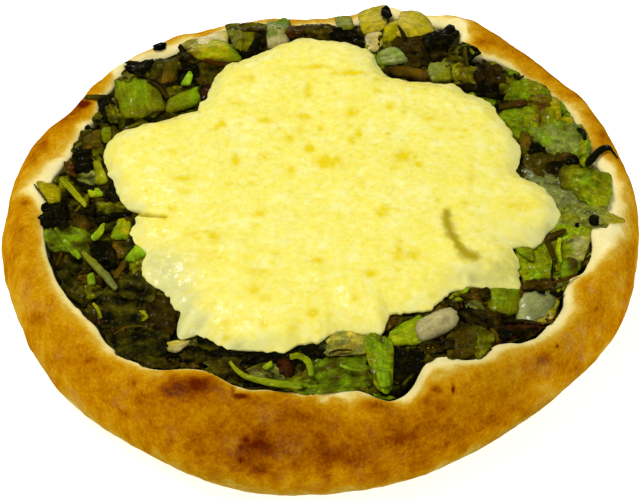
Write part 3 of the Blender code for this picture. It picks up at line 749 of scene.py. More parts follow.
def make_cheese():
    """Melted sheet, with its spots, cuts and whitish, thin and richer places as numbers for each point."""
    outline = polar(TURN, 40.0)
    wobble = 0.50 * uneven(*outline, 5.0, 3.2) + 0.30 * uneven(*outline, 8.0, 1.3)
    smooth_edge = cheese_edge(TURN)
    edge = smooth_edge + wobble
    rows = []
    for share in (0.3, 0.6, 0.85, 0.97):
        rows.append(((edge - CHEESE_ROUND) * share, 0.0 * TURN))
    half = THIN_EDGE / 2.0
    for bend in np.radians(np.linspace(0.0, 150.0, 13)):
        rows.append((edge - half * (1.0 - math.sin(bend)), half * (1.0 - math.cos(bend)) + 0.0 * TURN))
    first_radius, first_lift = smooth_edge + (rows[-1][0] - edge), rows[-1][1]
    for number in range(1, TOP_ROWS):
        radius = first_radius * (1.0 - number / TOP_ROWS)
        inward = first_radius - radius
        lift = first_lift + (CHEESE_THICKNESS - first_lift) * (1.0 - np.exp(-inward / EDGE_CURVE))
        rows.append((radius + wobble * np.exp(-inward / WOBBLE_FADE), lift))
    radius, lift = np.array([row[0] for row in rows]), np.array([row[1] for row in rows])
    x, y = polar(np.broadcast_to(TURN, radius.shape), radius)
    points = np.stack([x, y, sheet_height(x, y) + lift], 2)
    top = smooth_step(lift, 0.5 * THIN_EDGE, THIN_EDGE)
    inside = smooth_edge - radius
    points[..., 2] -= EDGE_DROP * (1.0 - smooth_step(inside, 0.0, 5.0))
    ripple = np.sin((y + 0.12 * x + 1.2 * uneven(x, y, 30.0, 9.0)) * 2.6)
    ripple *= smooth_step(y, 22.0, 34.0)
    relief = 0.24 * uneven(x, y, 20.0, 5.5) + 0.09 * uneven(x, y, 50.0, 2.0) + 0.03 * uneven(x, y, 80.0, 0.9)
    across, down = pixel_of(points)
    yellow, cut, depth = spot_share(x, y, across, down), *cut_share(x, y, across, down)
    relief += 0.06 * ripple - 0.06 * yellow - depth
    points[..., 2] += relief * top
    margin = 1.0 - smooth_step(inside + 1.0 * uneven(x, y, 60.0, 4.0), 0.2, 3.0)
    ragged = 1.0 + 0.5 * uneven(x, y, 65.0, 2.0) + 0.5 * uneven(x, y, 66.0, 0.9)
    white = held(0.35 * margin + near_places(WHITISH_PLACES, across, down) * ragged)
    thin = held(near_places(THIN_PLACES, across, down) * ragged)
    rich = 0.5 + 0.5 * uneven(x, y, 44.0, 9.0) + 0.2 * ripple
    ring_piece("melted_cheese", points, cheese_material(), "cheese",
               spot=yellow, white=white, thin=thin, cut=cut, rich=rich)


def cut_share(x, y, across, down):
    """How much of a cut shows at each point, and how deep it is there."""
    share, depth = np.zeros_like(across), np.zeros_like(across)
    ragged = 1.0 + 0.45 * uneven(x, y, 33.0, 1.5) + 0.25 * uneven(x, y, 34.0, 0.6)
    for first, last, deep, *places in CUTS:
        steps = len(places) * 8
        stops = np.linspace(0.0, len(places) - 1.0, steps)
        line = [np.interp(stops, range(len(places)), [place[axis] for place in places]) for axis in (0, 1)]
        for number, (centre, height) in enumerate(zip(*line)):
            wide = (first + (last - first) * number / steps) * ragged
            near = np.exp(-(((across - centre) ** 2 + (down - height) ** 2) / wide ** 2) ** 1.5)
            share, depth = np.maximum(share, near), np.maximum(depth, near * deep)
    return share, depth


def spot_share(x, y, across, down):
    """How much of a deeper yellow spot shows at each point, with small ones drawn at random between."""
    draw = random.Random(SPOT_SEED)
    total = near_places(YELLOW_SPOTS, across, down)
    for _ in range(SMALL_SPOTS):
        centre_x, centre_y = polar(draw.uniform(0.0, 360.0), SPOT_REACH * math.sqrt(draw.random()))
        size, amount = draw.uniform(0.22, 0.5), draw.uniform(0.15, 0.5)
        away = ((x - centre_x) / 1.35) ** 2 + (y - centre_y) ** 2
        near = away < (3.0 * size) ** 2
        total[near] += amount * np.exp(-away[near] / size ** 2)
    return held(1.5 * total * (1.0 + 0.6 * uneven(x, y, 70.0, 0.8)))


def cheese_material():
    material, tree, shader = start_material("melted_cheese")
    mottle = span(tree, grain(tree, 1.2, 4.0, 0.65), 0.36, 0.66, 0.0, 1.0)
    colour = layered(tree, CHEESE_TONES["sheet"], (
        (mottle, CHEESE_TONES["mottle"]),
        (times(tree, read_value(tree, "rich"), 0.45), CHEESE_TONES["rich"]),
        (span(tree, grain(tree, 3.5, 3.0, 0.6), 0.52, 0.66, 0.0, 0.5), CHEESE_TONES["light"]),
        (times(tree, read_value(tree, "white"), 0.85), CHEESE_TONES["white"]),
        (times(tree, read_value(tree, "thin"), 0.8), CHEESE_TONES["thin"]),
        (read_value(tree, "spot"), CHEESE_TONES["spot"]),
        (read_value(tree, "cut"), CHEESE_TONES["cut"]),
    ))
    wet = grain(tree, 1.4, 3.0)
    normal = bump(tree, grain(tree, 0.5, 3.0), 0.07, 0.6)
    set_inputs(tree, shader, {
        "Base Color": colour,
        "Roughness": span(tree, wet, 0.52, 0.66, 0.42, 0.18),
        "Specular IOR Level": span(tree, wet, 0.52, 0.66, 0.10, 0.60),
        "Normal": bump(tree, grain(tree, 1.8, 3.0), 0.2, 0.5, normal),
        "Subsurface Weight": 0.2,
        "Subsurface Radius": (1.0, 0.8, 0.25),
        "Subsurface Scale": 0.5 * MM,
    })
    return material


# ---- Greens: colours ----

PALETTE = {
    "black": (0.004, 0.004, 0.001),
    "umber": (0.045, 0.027, 0.001),
    "maroon": (0.062, 0.015, 0.002),
    "brown": (0.120, 0.062, 0.002),
    "moss": (0.060, 0.052, 0.001),
    "olive": (0.180, 0.180, 0.001),
    "green": (0.150, 0.235, 0.002),
    "bright": (0.270, 0.440, 0.008),
    "lime": (0.370, 0.390, 0.004),
    "mustard": (0.400, 0.320, 0.001),
    "straw": (0.500, 0.390, 0.030),
    "pale": (0.480, 0.410, 0.160),
    "clear": (0.330, 0.350, 0.110),
    "sage": (0.200, 0.225, 0.035),
    "film": (0.130, 0.140, 0.035),
    "cream": (0.700, 0.600, 0.280),
}
FIBRE_STRETCH = (0.22, 2.1, 1.0)    # how the fibres' noise is drawn out along a piece, by millimetre
STAIN_TONE = (0.040, 0.026, 0.001)


def greens_material(name, roughness, fibres, mottling, translucent, bump_depth, shine=0.0):
    """Wet plant tissue in its points' colours, with fibres, mottling, brown stains and small wet glints."""
    material, tree, shader = start_material(name)
    coarse = span(tree, grain(tree, 1.5, 3.0, 0.6), 0.35, 0.65, 1.0 - mottling, 1.0 + mottling)
    fine = span(tree, grain(tree, 0.5, 3.0, 0.6), 0.35, 0.65, 1.0 - mottling, 1.0 + mottling)
    mottle = times(tree, coarse, fine)
    drawn_out = {0: read_value(tree, "fibre", "Vector"), 1: FIBRE_STRETCH}
    drawn_out = add_node(tree, "ShaderNodeVectorMath", drawn_out, operation="MULTIPLY").outputs[0]
    settings = {"Vector": drawn_out, "Scale": 1.0, "Detail": 2.0}
    thread = add_node(tree, "ShaderNodeTexNoise", settings).outputs["Fac"]
    mottle = times(tree, mottle, span(tree, thread, 0.3, 0.7, 1.0 - fibres, 1.0 + fibres))
    tint = {0: read_value(tree, "tint", "Color"), 1: mottle}
    colour = add_node(tree, "ShaderNodeVectorMath", tint, operation="MULTIPLY").outputs[0]
    stain = span(tree, grain(tree, 1.9, 4.0, 0.6), 0.54, 0.68, 0.0, 1.8 * mottling)
    wet = grain(tree, 0.75, 2.0)
    lit = span(tree, read_value(tree, "tint"), 0.0, 0.06, 0.3, 1.0)
    normal = bump(tree, thread, fibres * 0.25, 0.8)
    normal = bump(tree, grain(tree, 0.4, 3.0), bump_depth, 1.0, normal)
    set_inputs(tree, shader, {
        "Base Color": mix_colours(tree, stain, colour, STAIN_TONE),
        "Roughness": span(tree, wet, 0.58 - shine, 0.68 - shine, roughness, 0.2),
        "Specular IOR Level": times(tree, lit, span(tree, wet, 0.60 - shine, 0.70 - shine, 0.005, 0.7)),
        "Normal": bump(tree, grain(tree, 1.1, 2.0), bump_depth * 1.8, 0.7, normal),
        "Subsurface Weight": translucent,
        "Subsurface Radius": (0.8, 1.0, 0.25),
        "Subsurface Scale": 0.8 * MM,
    })
    return material


def opaque(tint):
    return np.concatenate([tint, np.ones((len(tint), 1))], 1)


def blend_tints(first, second, share):
    first, second = np.array(PALETTE[first]), np.array(PALETTE[second])
    return first + (second - first) * share[..., None]


# ---- Greens: the core ----

CORE_BOTTOM = FLOOR_HEIGHT + GAP
CORE_WALL = (CORE_BOTTOM + 0.3, 7.5, 9.5, 11.5, 13.0, 14.0)     # heights of the rows of its side
RING_ROWS = 52
WALL_RELIEF = 0.7           # depth of the dents in its side


def make_core():
    """Dark crumpled mass that fills the dish and carries the pieces, with painted shade in its hollows."""
    outer = free_radius(TURN, CORE_EDGE_HEIGHT) - 0.5
    inner = cheese_edge(TURN) - 2.5
    # Each row has its radius and its height, or no height where it follows the heap's top.
    rows = [(free_radius(TURN, CORE_BOTTOM) * share, CORE_BOTTOM) for share in (0.5, 0.95)]
    rows += [(free_radius(TURN, height), height) for height in CORE_WALL]
    rows += [(outer + (inner - outer) * share, None) for share in np.linspace(0.0, 1.0, RING_ROWS)]
    rows += [(inner * share, None) for share in (0.85, 0.6, 0.35, 0.15)]
    radius = np.array([row[0] for row in rows])
    angle = np.broadcast_to(TURN, radius.shape)
    x, y = polar(angle, radius)
    free = np.array([row[1] is None for row in rows])
    height = np.array([np.full(ANGLES, row[1] or 0.0) for row in rows])
    height[free] = ring_height(x[free], y[free])
    out = smooth_step(radius - cheese_edge(angle), -0.6, 1.2) * free[:, None]
    crumple = 0.60 * ridged(x, y, 15.0, 3.2) + 0.35 * ridged(x, y, 25.0, 1.6) + 0.16 * uneven(x, y, 35.0, 0.8)
    height += out * (crumple - 0.8)
    height -= (1.0 - out) * free[:, None] * 0.25
    wall = np.array([row[1] in CORE_WALL[1:] for row in rows])[:, None]
    dents = wall * np.maximum(0.0, 0.5 + 0.5 * uneven(x, y, height, 1.8))
    inward = 1.0 - dents * WALL_RELIEF / np.maximum(radius, 1.0)
    x, y = x * inward, y * inward
    points = np.stack([x, y, height], 2)
    # Painted shade in part: lighter on the crumpled ridges and darker in the hollows, over random tones from
    # black to moss.  Its near-black stands partly for dark leaves and partly for painted shade in the
    # crevices between the pieces.
    shade = held(0.35 + 0.6 * uneven(x, y, 45.0 + height, 1.8) + 0.6 * crumple * free[:, None])
    tint = blend_tints("black", "moss", shade ** 1.6)
    tint = np.concatenate([tint.reshape(-1, 3), np.tile(PALETTE["black"], (2, 1))])
    material = greens_material("chopped_greens", 0.5, 0.0, 0.25, 0.0, 0.14)
    points, faces = with_middles(points), round_faces(len(rows))
    new_piece("greens_core", points, faces, material, "greens", tint=opaque(tint))


# ---- Greens: how the pieces lie ----

HEAP_STEP = 0.5             # size of a cell of the map of the heap's height
HEAP_HALF = 128             # cells from the middle of the map to its side
BED_DEPTH = 1.1             # how far below their final level the first pieces are laid
LEEWAY = 1.9                # how far above the banked ring the pieces may pile
# A piece given by pixels moves along its lines of sight in a few rounds, each part of the way to its place.
SETTLE_ROUNDS = 4
SETTLE_SHARE = 0.6


def heap_map():
    """Height of what carries the pieces on a square grid: the bed of the greens, and the crust round it."""
    line = np.arange(-HEAP_HALF, HEAP_HALF + 1) * HEAP_STEP
    x, y = np.meshgrid(line, line, indexing="ij")
    bed = ring_height(x, y) - BED_DEPTH
    out = smooth_step(np.hypot(x, y) - lip_radius(angle_of(x, y)), -1.8, 0.2)
    return bed + (np.maximum(rim_height(x, y), bed) - bed) * out


def smoothed(heights):
    """The map with its steps evened out."""
    for axis in (0, 1):
        heights = sum(np.roll(heights, move, axis) for move in (-2, -1, 0, 1, 2)) / 5.0
    return heights


def ground_under(low, x, y, drape):
    """Level that a piece rests on: a tilted plane for a stiff one, the heap's own shape for a limp one."""
    ground = sample(low, HEAP_STEP, x, y)
    terms = np.stack([np.ones(x.size), x.ravel() - x.mean(), y.ravel() - y.mean()], 1)
    plane = terms @ np.linalg.lstsq(terms, ground.ravel(), rcond=None)[0]
    return plane.reshape(x.shape) * (1.0 - drape) + ground * drape


def held_clear(x, y, z):
    """Keeps a piece under the cheese's edge, out of the crust and within the heap's depth."""
    angle = angle_of(x, y)
    beyond = np.hypot(x, y) - cheese_edge(angle)
    z = np.minimum(z, sheet_height(x, y) - 0.3 + 6.0 * smooth_step(beyond, 0.0, 2.4))
    z = np.minimum(z, np.maximum(ring_height(x, y), rim_height(x, y)) + LEEWAY)
    over = np.hypot(x, y) - lip_radius(angle) > -0.2
    return np.where(over, np.maximum(z, rim_height(x, y) + 0.2), z)


def mark(heights, x, y, z):
    """Raises the map to the top of a piece that has been laid."""
    size = len(heights) - 1
    i = np.clip(np.rint(x / HEAP_STEP + size / 2.0), 0, size).astype(int)
    j = np.clip(np.rint(y / HEAP_STEP + size / 2.0), 0, size).astype(int)
    np.maximum.at(heights, (i, j), z)


def slab(middle, thickness, looks):
    """Closed thin solid about a grid of places: its points, faces and the looks of each point."""
    rows, columns = middle.shape[:2]
    normal = np.cross(np.gradient(middle, axis=0), np.gradient(middle, axis=1))
    normal /= np.linalg.norm(normal, axis=2, keepdims=True) + 1e-9
    if normal[..., 2].mean() < 0.0:
        normal = -normal
    half = normal * thickness[..., None] / 2.0
    points = np.concatenate([(middle + half).reshape(-1, 3), (middle - half).reshape(-1, 3)])
    index = np.arange(rows * columns).reshape(rows, columns)
    a, b, c, d = (index[:-1, :-1], index[1:, :-1], index[1:, 1:], index[:-1, 1:])
    top = np.stack([a, b, c, d], 2).reshape(-1, 4)
    below = rows * columns
    rim = np.concatenate([index[:, 0], index[-1, 1:], index[-2::-1, -1], index[0, -2:0:-1]])
    after = np.roll(rim, -1)
    sides = np.stack([rim, rim + below, after + below, after], 1)
    faces = np.concatenate([top, top[:, ::-1] + below, sides])
    turned_over = np.cross(middle[1, 0] - middle[0, 0], middle[0, 1] - middle[0, 0])[2] < 0.0
    if turned_over:
        faces = faces[:, ::-1]
    looks = looks.reshape(below, -1)
    return points, faces, np.concatenate([looks, looks])


# ---- Greens: the forms ----

# Each takes a grid of places from -1 to 1 along and across it.  It gives their places in its outline, its
# relief, its thickness, its share of the second colour and its shade, which in most forms is painted shade:
# darker in hollows, between ribs and towards the hanging or rounded rim, lighter on ridges.


def outlined(u, w, roundness, seed, swell, jag):
    """A grid drawn to a rounder and uneven outline: its places, and how near to the rim each lies."""
    round_u, round_w = u * np.sqrt(1.0 - w * w / 2.0), w * np.sqrt(1.0 - u * u / 2.0)
    rim = np.maximum(np.abs(u), np.abs(w))
    turn = np.arctan2(round_w, round_u)
    x, y = np.cos(turn), np.sin(turn)
    grow = swell * uneven(x, y, seed, 1.1) + jag * (0.5 - 1.9 * np.abs(uneven(x, y, seed + 9.0, 0.45)))
    grow = 1.04 + 0.14 * roundness + grow * rim ** 2
    return (u + (round_u - u) * roundness) * grow, (w + (round_w - w) * roundness) * grow, rim


def start_form(u, w, length, width, draw, roundness, swell, jag):
    """What most forms begin with: a seed, the places in the outline, how near the rim they are, and in mm."""
    seed = draw.uniform(0.0, 500.0)
    s, t, rim = outlined(u, w, roundness, seed, swell, jag)
    return seed, s, t, rim, length / 2.0 * s, width / 2.0 * t


def leaf_form(u, w, length, width, arch, draw):
    """Wilted scrap of leaf, creased and ragged, with its rim hanging down."""
    seed, s, t, rim, x, y = start_form(u, w, length, width, draw, 0.60, 0.24, 0.24)
    crease = ridged(x * 0.8, y * 1.2, seed + 20.0, 2.3)
    crumple = ridged(x, y, seed + 30.0, 1.1)
    relief = arch * width * 0.15 * (1.0 - t * t) + 0.32 * crease + 0.17 * crumple - 0.3 * rim ** 5
    thickness = 0.24 * (1.0 - 0.5 * rim ** 6)
    share = held(0.5 + 0.4 * s + 0.8 * uneven(x, y, seed + 60.0, 1.8))
    shade = 0.8 + 0.40 * crease + 0.25 * crumple - 0.2 * rim ** 6
    return s, t, relief, thickness, share, shade


def sheet_form(u, w, length, width, arch, draw):
    """Broad limp leaf that lies over the rest, in soft patches of two colours."""
    seed, s, t, rim, x, y = start_form(u, w, length, width, draw, 0.55, 0.22, 0.10)
    crease = ridged(x * 0.7, y, seed + 20.0, 2.6)
    crumple = ridged(x, y, seed + 30.0, 1.2)
    relief = arch * width * 0.15 * (1.0 - t * t) + 0.22 * crease + 0.10 * crumple - 0.25 * rim ** 8
    thickness = 0.26 * (1.0 - 0.5 * rim ** 8)
    share = held(0.5 + 0.9 * uneven(x, y, seed + 60.0, 2.6) + 0.3 * uneven(x, y, seed + 80.0, 1.0))
    return s, t, relief, thickness, share, 0.86 + 0.30 * crease + 0.20 * crumple


def cut_form(u, w, length, width, arch, draw, depth, ribbing, roundness):
    """Fleshy piece with ribs along it and its rim rounded down."""
    seed, s, t, rim, x, y = start_form(u, w, length, width, draw, roundness, 0.16, 0.08)
    soft = uneven(x, y, seed + 40.0, 2.4)
    relief = arch * width * 0.22 * (1.0 - t * t) + 0.18 * soft + 0.07 * uneven(x, y, seed, 1.0)
    relief -= 0.35 * rim ** 6
    ribs = np.cos(t * draw.uniform(11.0, 15.0) + 0.6 * np.sin(2.0 * s))
    thickness = depth * (1.0 - 0.6 * rim ** 5) + ribbing * ribs * (1.0 - rim ** 6)
    streak = uneven(s * 0.8, t * 6.0, seed + 60.0, 1.0)
    share = held(0.5 + 0.4 * s + 0.3 * streak + 0.7 * uneven(x, y, seed + 80.0, 2.6))
    shade = 1.0 + 0.9 * ribbing * ribs + 0.15 * soft - 0.3 * rim ** 6
    return s, t, relief, thickness, share, shade


def stalk_form(u, w, length, width, arch, draw):
    return cut_form(u, w, length, width, arch, draw, draw.uniform(0.7, 0.9), 0.07, 0.50)


def petal_form(u, w, length, width, arch, draw):
    return cut_form(u, w, length, width, arch, draw, draw.uniform(0.35, 0.5), 0.02, 0.42)


def lump_form(u, w, length, width, arch, draw):
    """Rounded chunk."""
    seed, s, t, rim, x, y = start_form(u, w, length, width, draw, 1.0, 0.2, 0.06)
    relief = 0.15 * uneven(x, y, seed + 5.0, 2.2) + 0.1 * width * arch
    thickness = min(width, length) * 0.5 * np.sqrt(1.0 - rim ** 3.0 * 0.985)
    share = held(0.5 + 0.4 * s + 0.6 * uneven(x, y, seed + 60.0, 2.0))
    return s, t, relief, thickness, share, 1.0 - 0.35 * rim ** 4 + 0.08 * uneven(x, y, seed + 70.0, 1.0)


def soft_form(u, w, length, width, arch, draw):
    """Smooth flat piece of clear flesh or of film."""
    seed, s, t, rim, x, y = start_form(u, w, length, width, draw, 0.80, 0.24, 0.06)
    relief = 0.20 * uneven(x, y, seed, 2.6) + arch * width * 0.25 * (1.0 - t * t) - 0.35 * rim ** 6
    thickness = (0.24 + 0.8 * arch) * (1.0 - 0.8 * rim ** 5)
    share = held(0.5 + 0.5 * s + 0.5 * uneven(x, y, seed + 60.0, 3.0))
    return s, t, relief, thickness, share, 1.0 - 0.2 * rim ** 6 + 0.08 * uneven(x, y, seed + 70.0, 1.2)


def strand_form(u, w, length, width, arch, draw):
    """Narrow strip of leaf or stalk, thicker in its middle."""
    seed = draw.uniform(0.0, 500.0)
    x = length / 2.0 * u
    narrow = 1.0 - draw.uniform(0.2, 0.5) * np.abs(u) ** 4
    narrow = narrow * (1.0 + 0.16 * uneven(u * 4.0, np.sign(w) * 3.0, seed, 1.0))
    relief = 0.14 * uneven(x, 0.0, seed + 20.0, 2.0) + arch * 0.3 * width * (1.0 - w * w)
    thickness = 0.5 * min(width, 1.6) * narrow * np.sqrt(1.0 - 0.85 * w * w)
    streak = uneven(u * 1.2, w * 2.5, seed + 60.0, 1.0)
    share = held(0.5 + 0.4 * u + 0.6 * streak)
    return u, w * narrow, relief, thickness, share, 1.0 + 0.15 * streak


# Each kind's form, the rows and columns of its grid when large and when small, and how far it drapes.
KINDS = {
    "leaf": (leaf_form, (21, 15), (13, 9), 0.75),
    "sheet": (sheet_form, (36, 32), (9, 9), 0.9),
    "petal": (petal_form, (20, 15), (9, 8), 0.5),
    "stalk": (stalk_form, (20, 26), (7, 9), 0.2),
    "lump": (lump_form, (17, 17), (9, 9), 0.0),
    "soft": (soft_form, (22, 18), (9, 9), 0.5),
    "strand": (strand_form, (26, 7), (9, 5), 0.85),
}


# ---- Greens: the pieces that show in the photograph ----

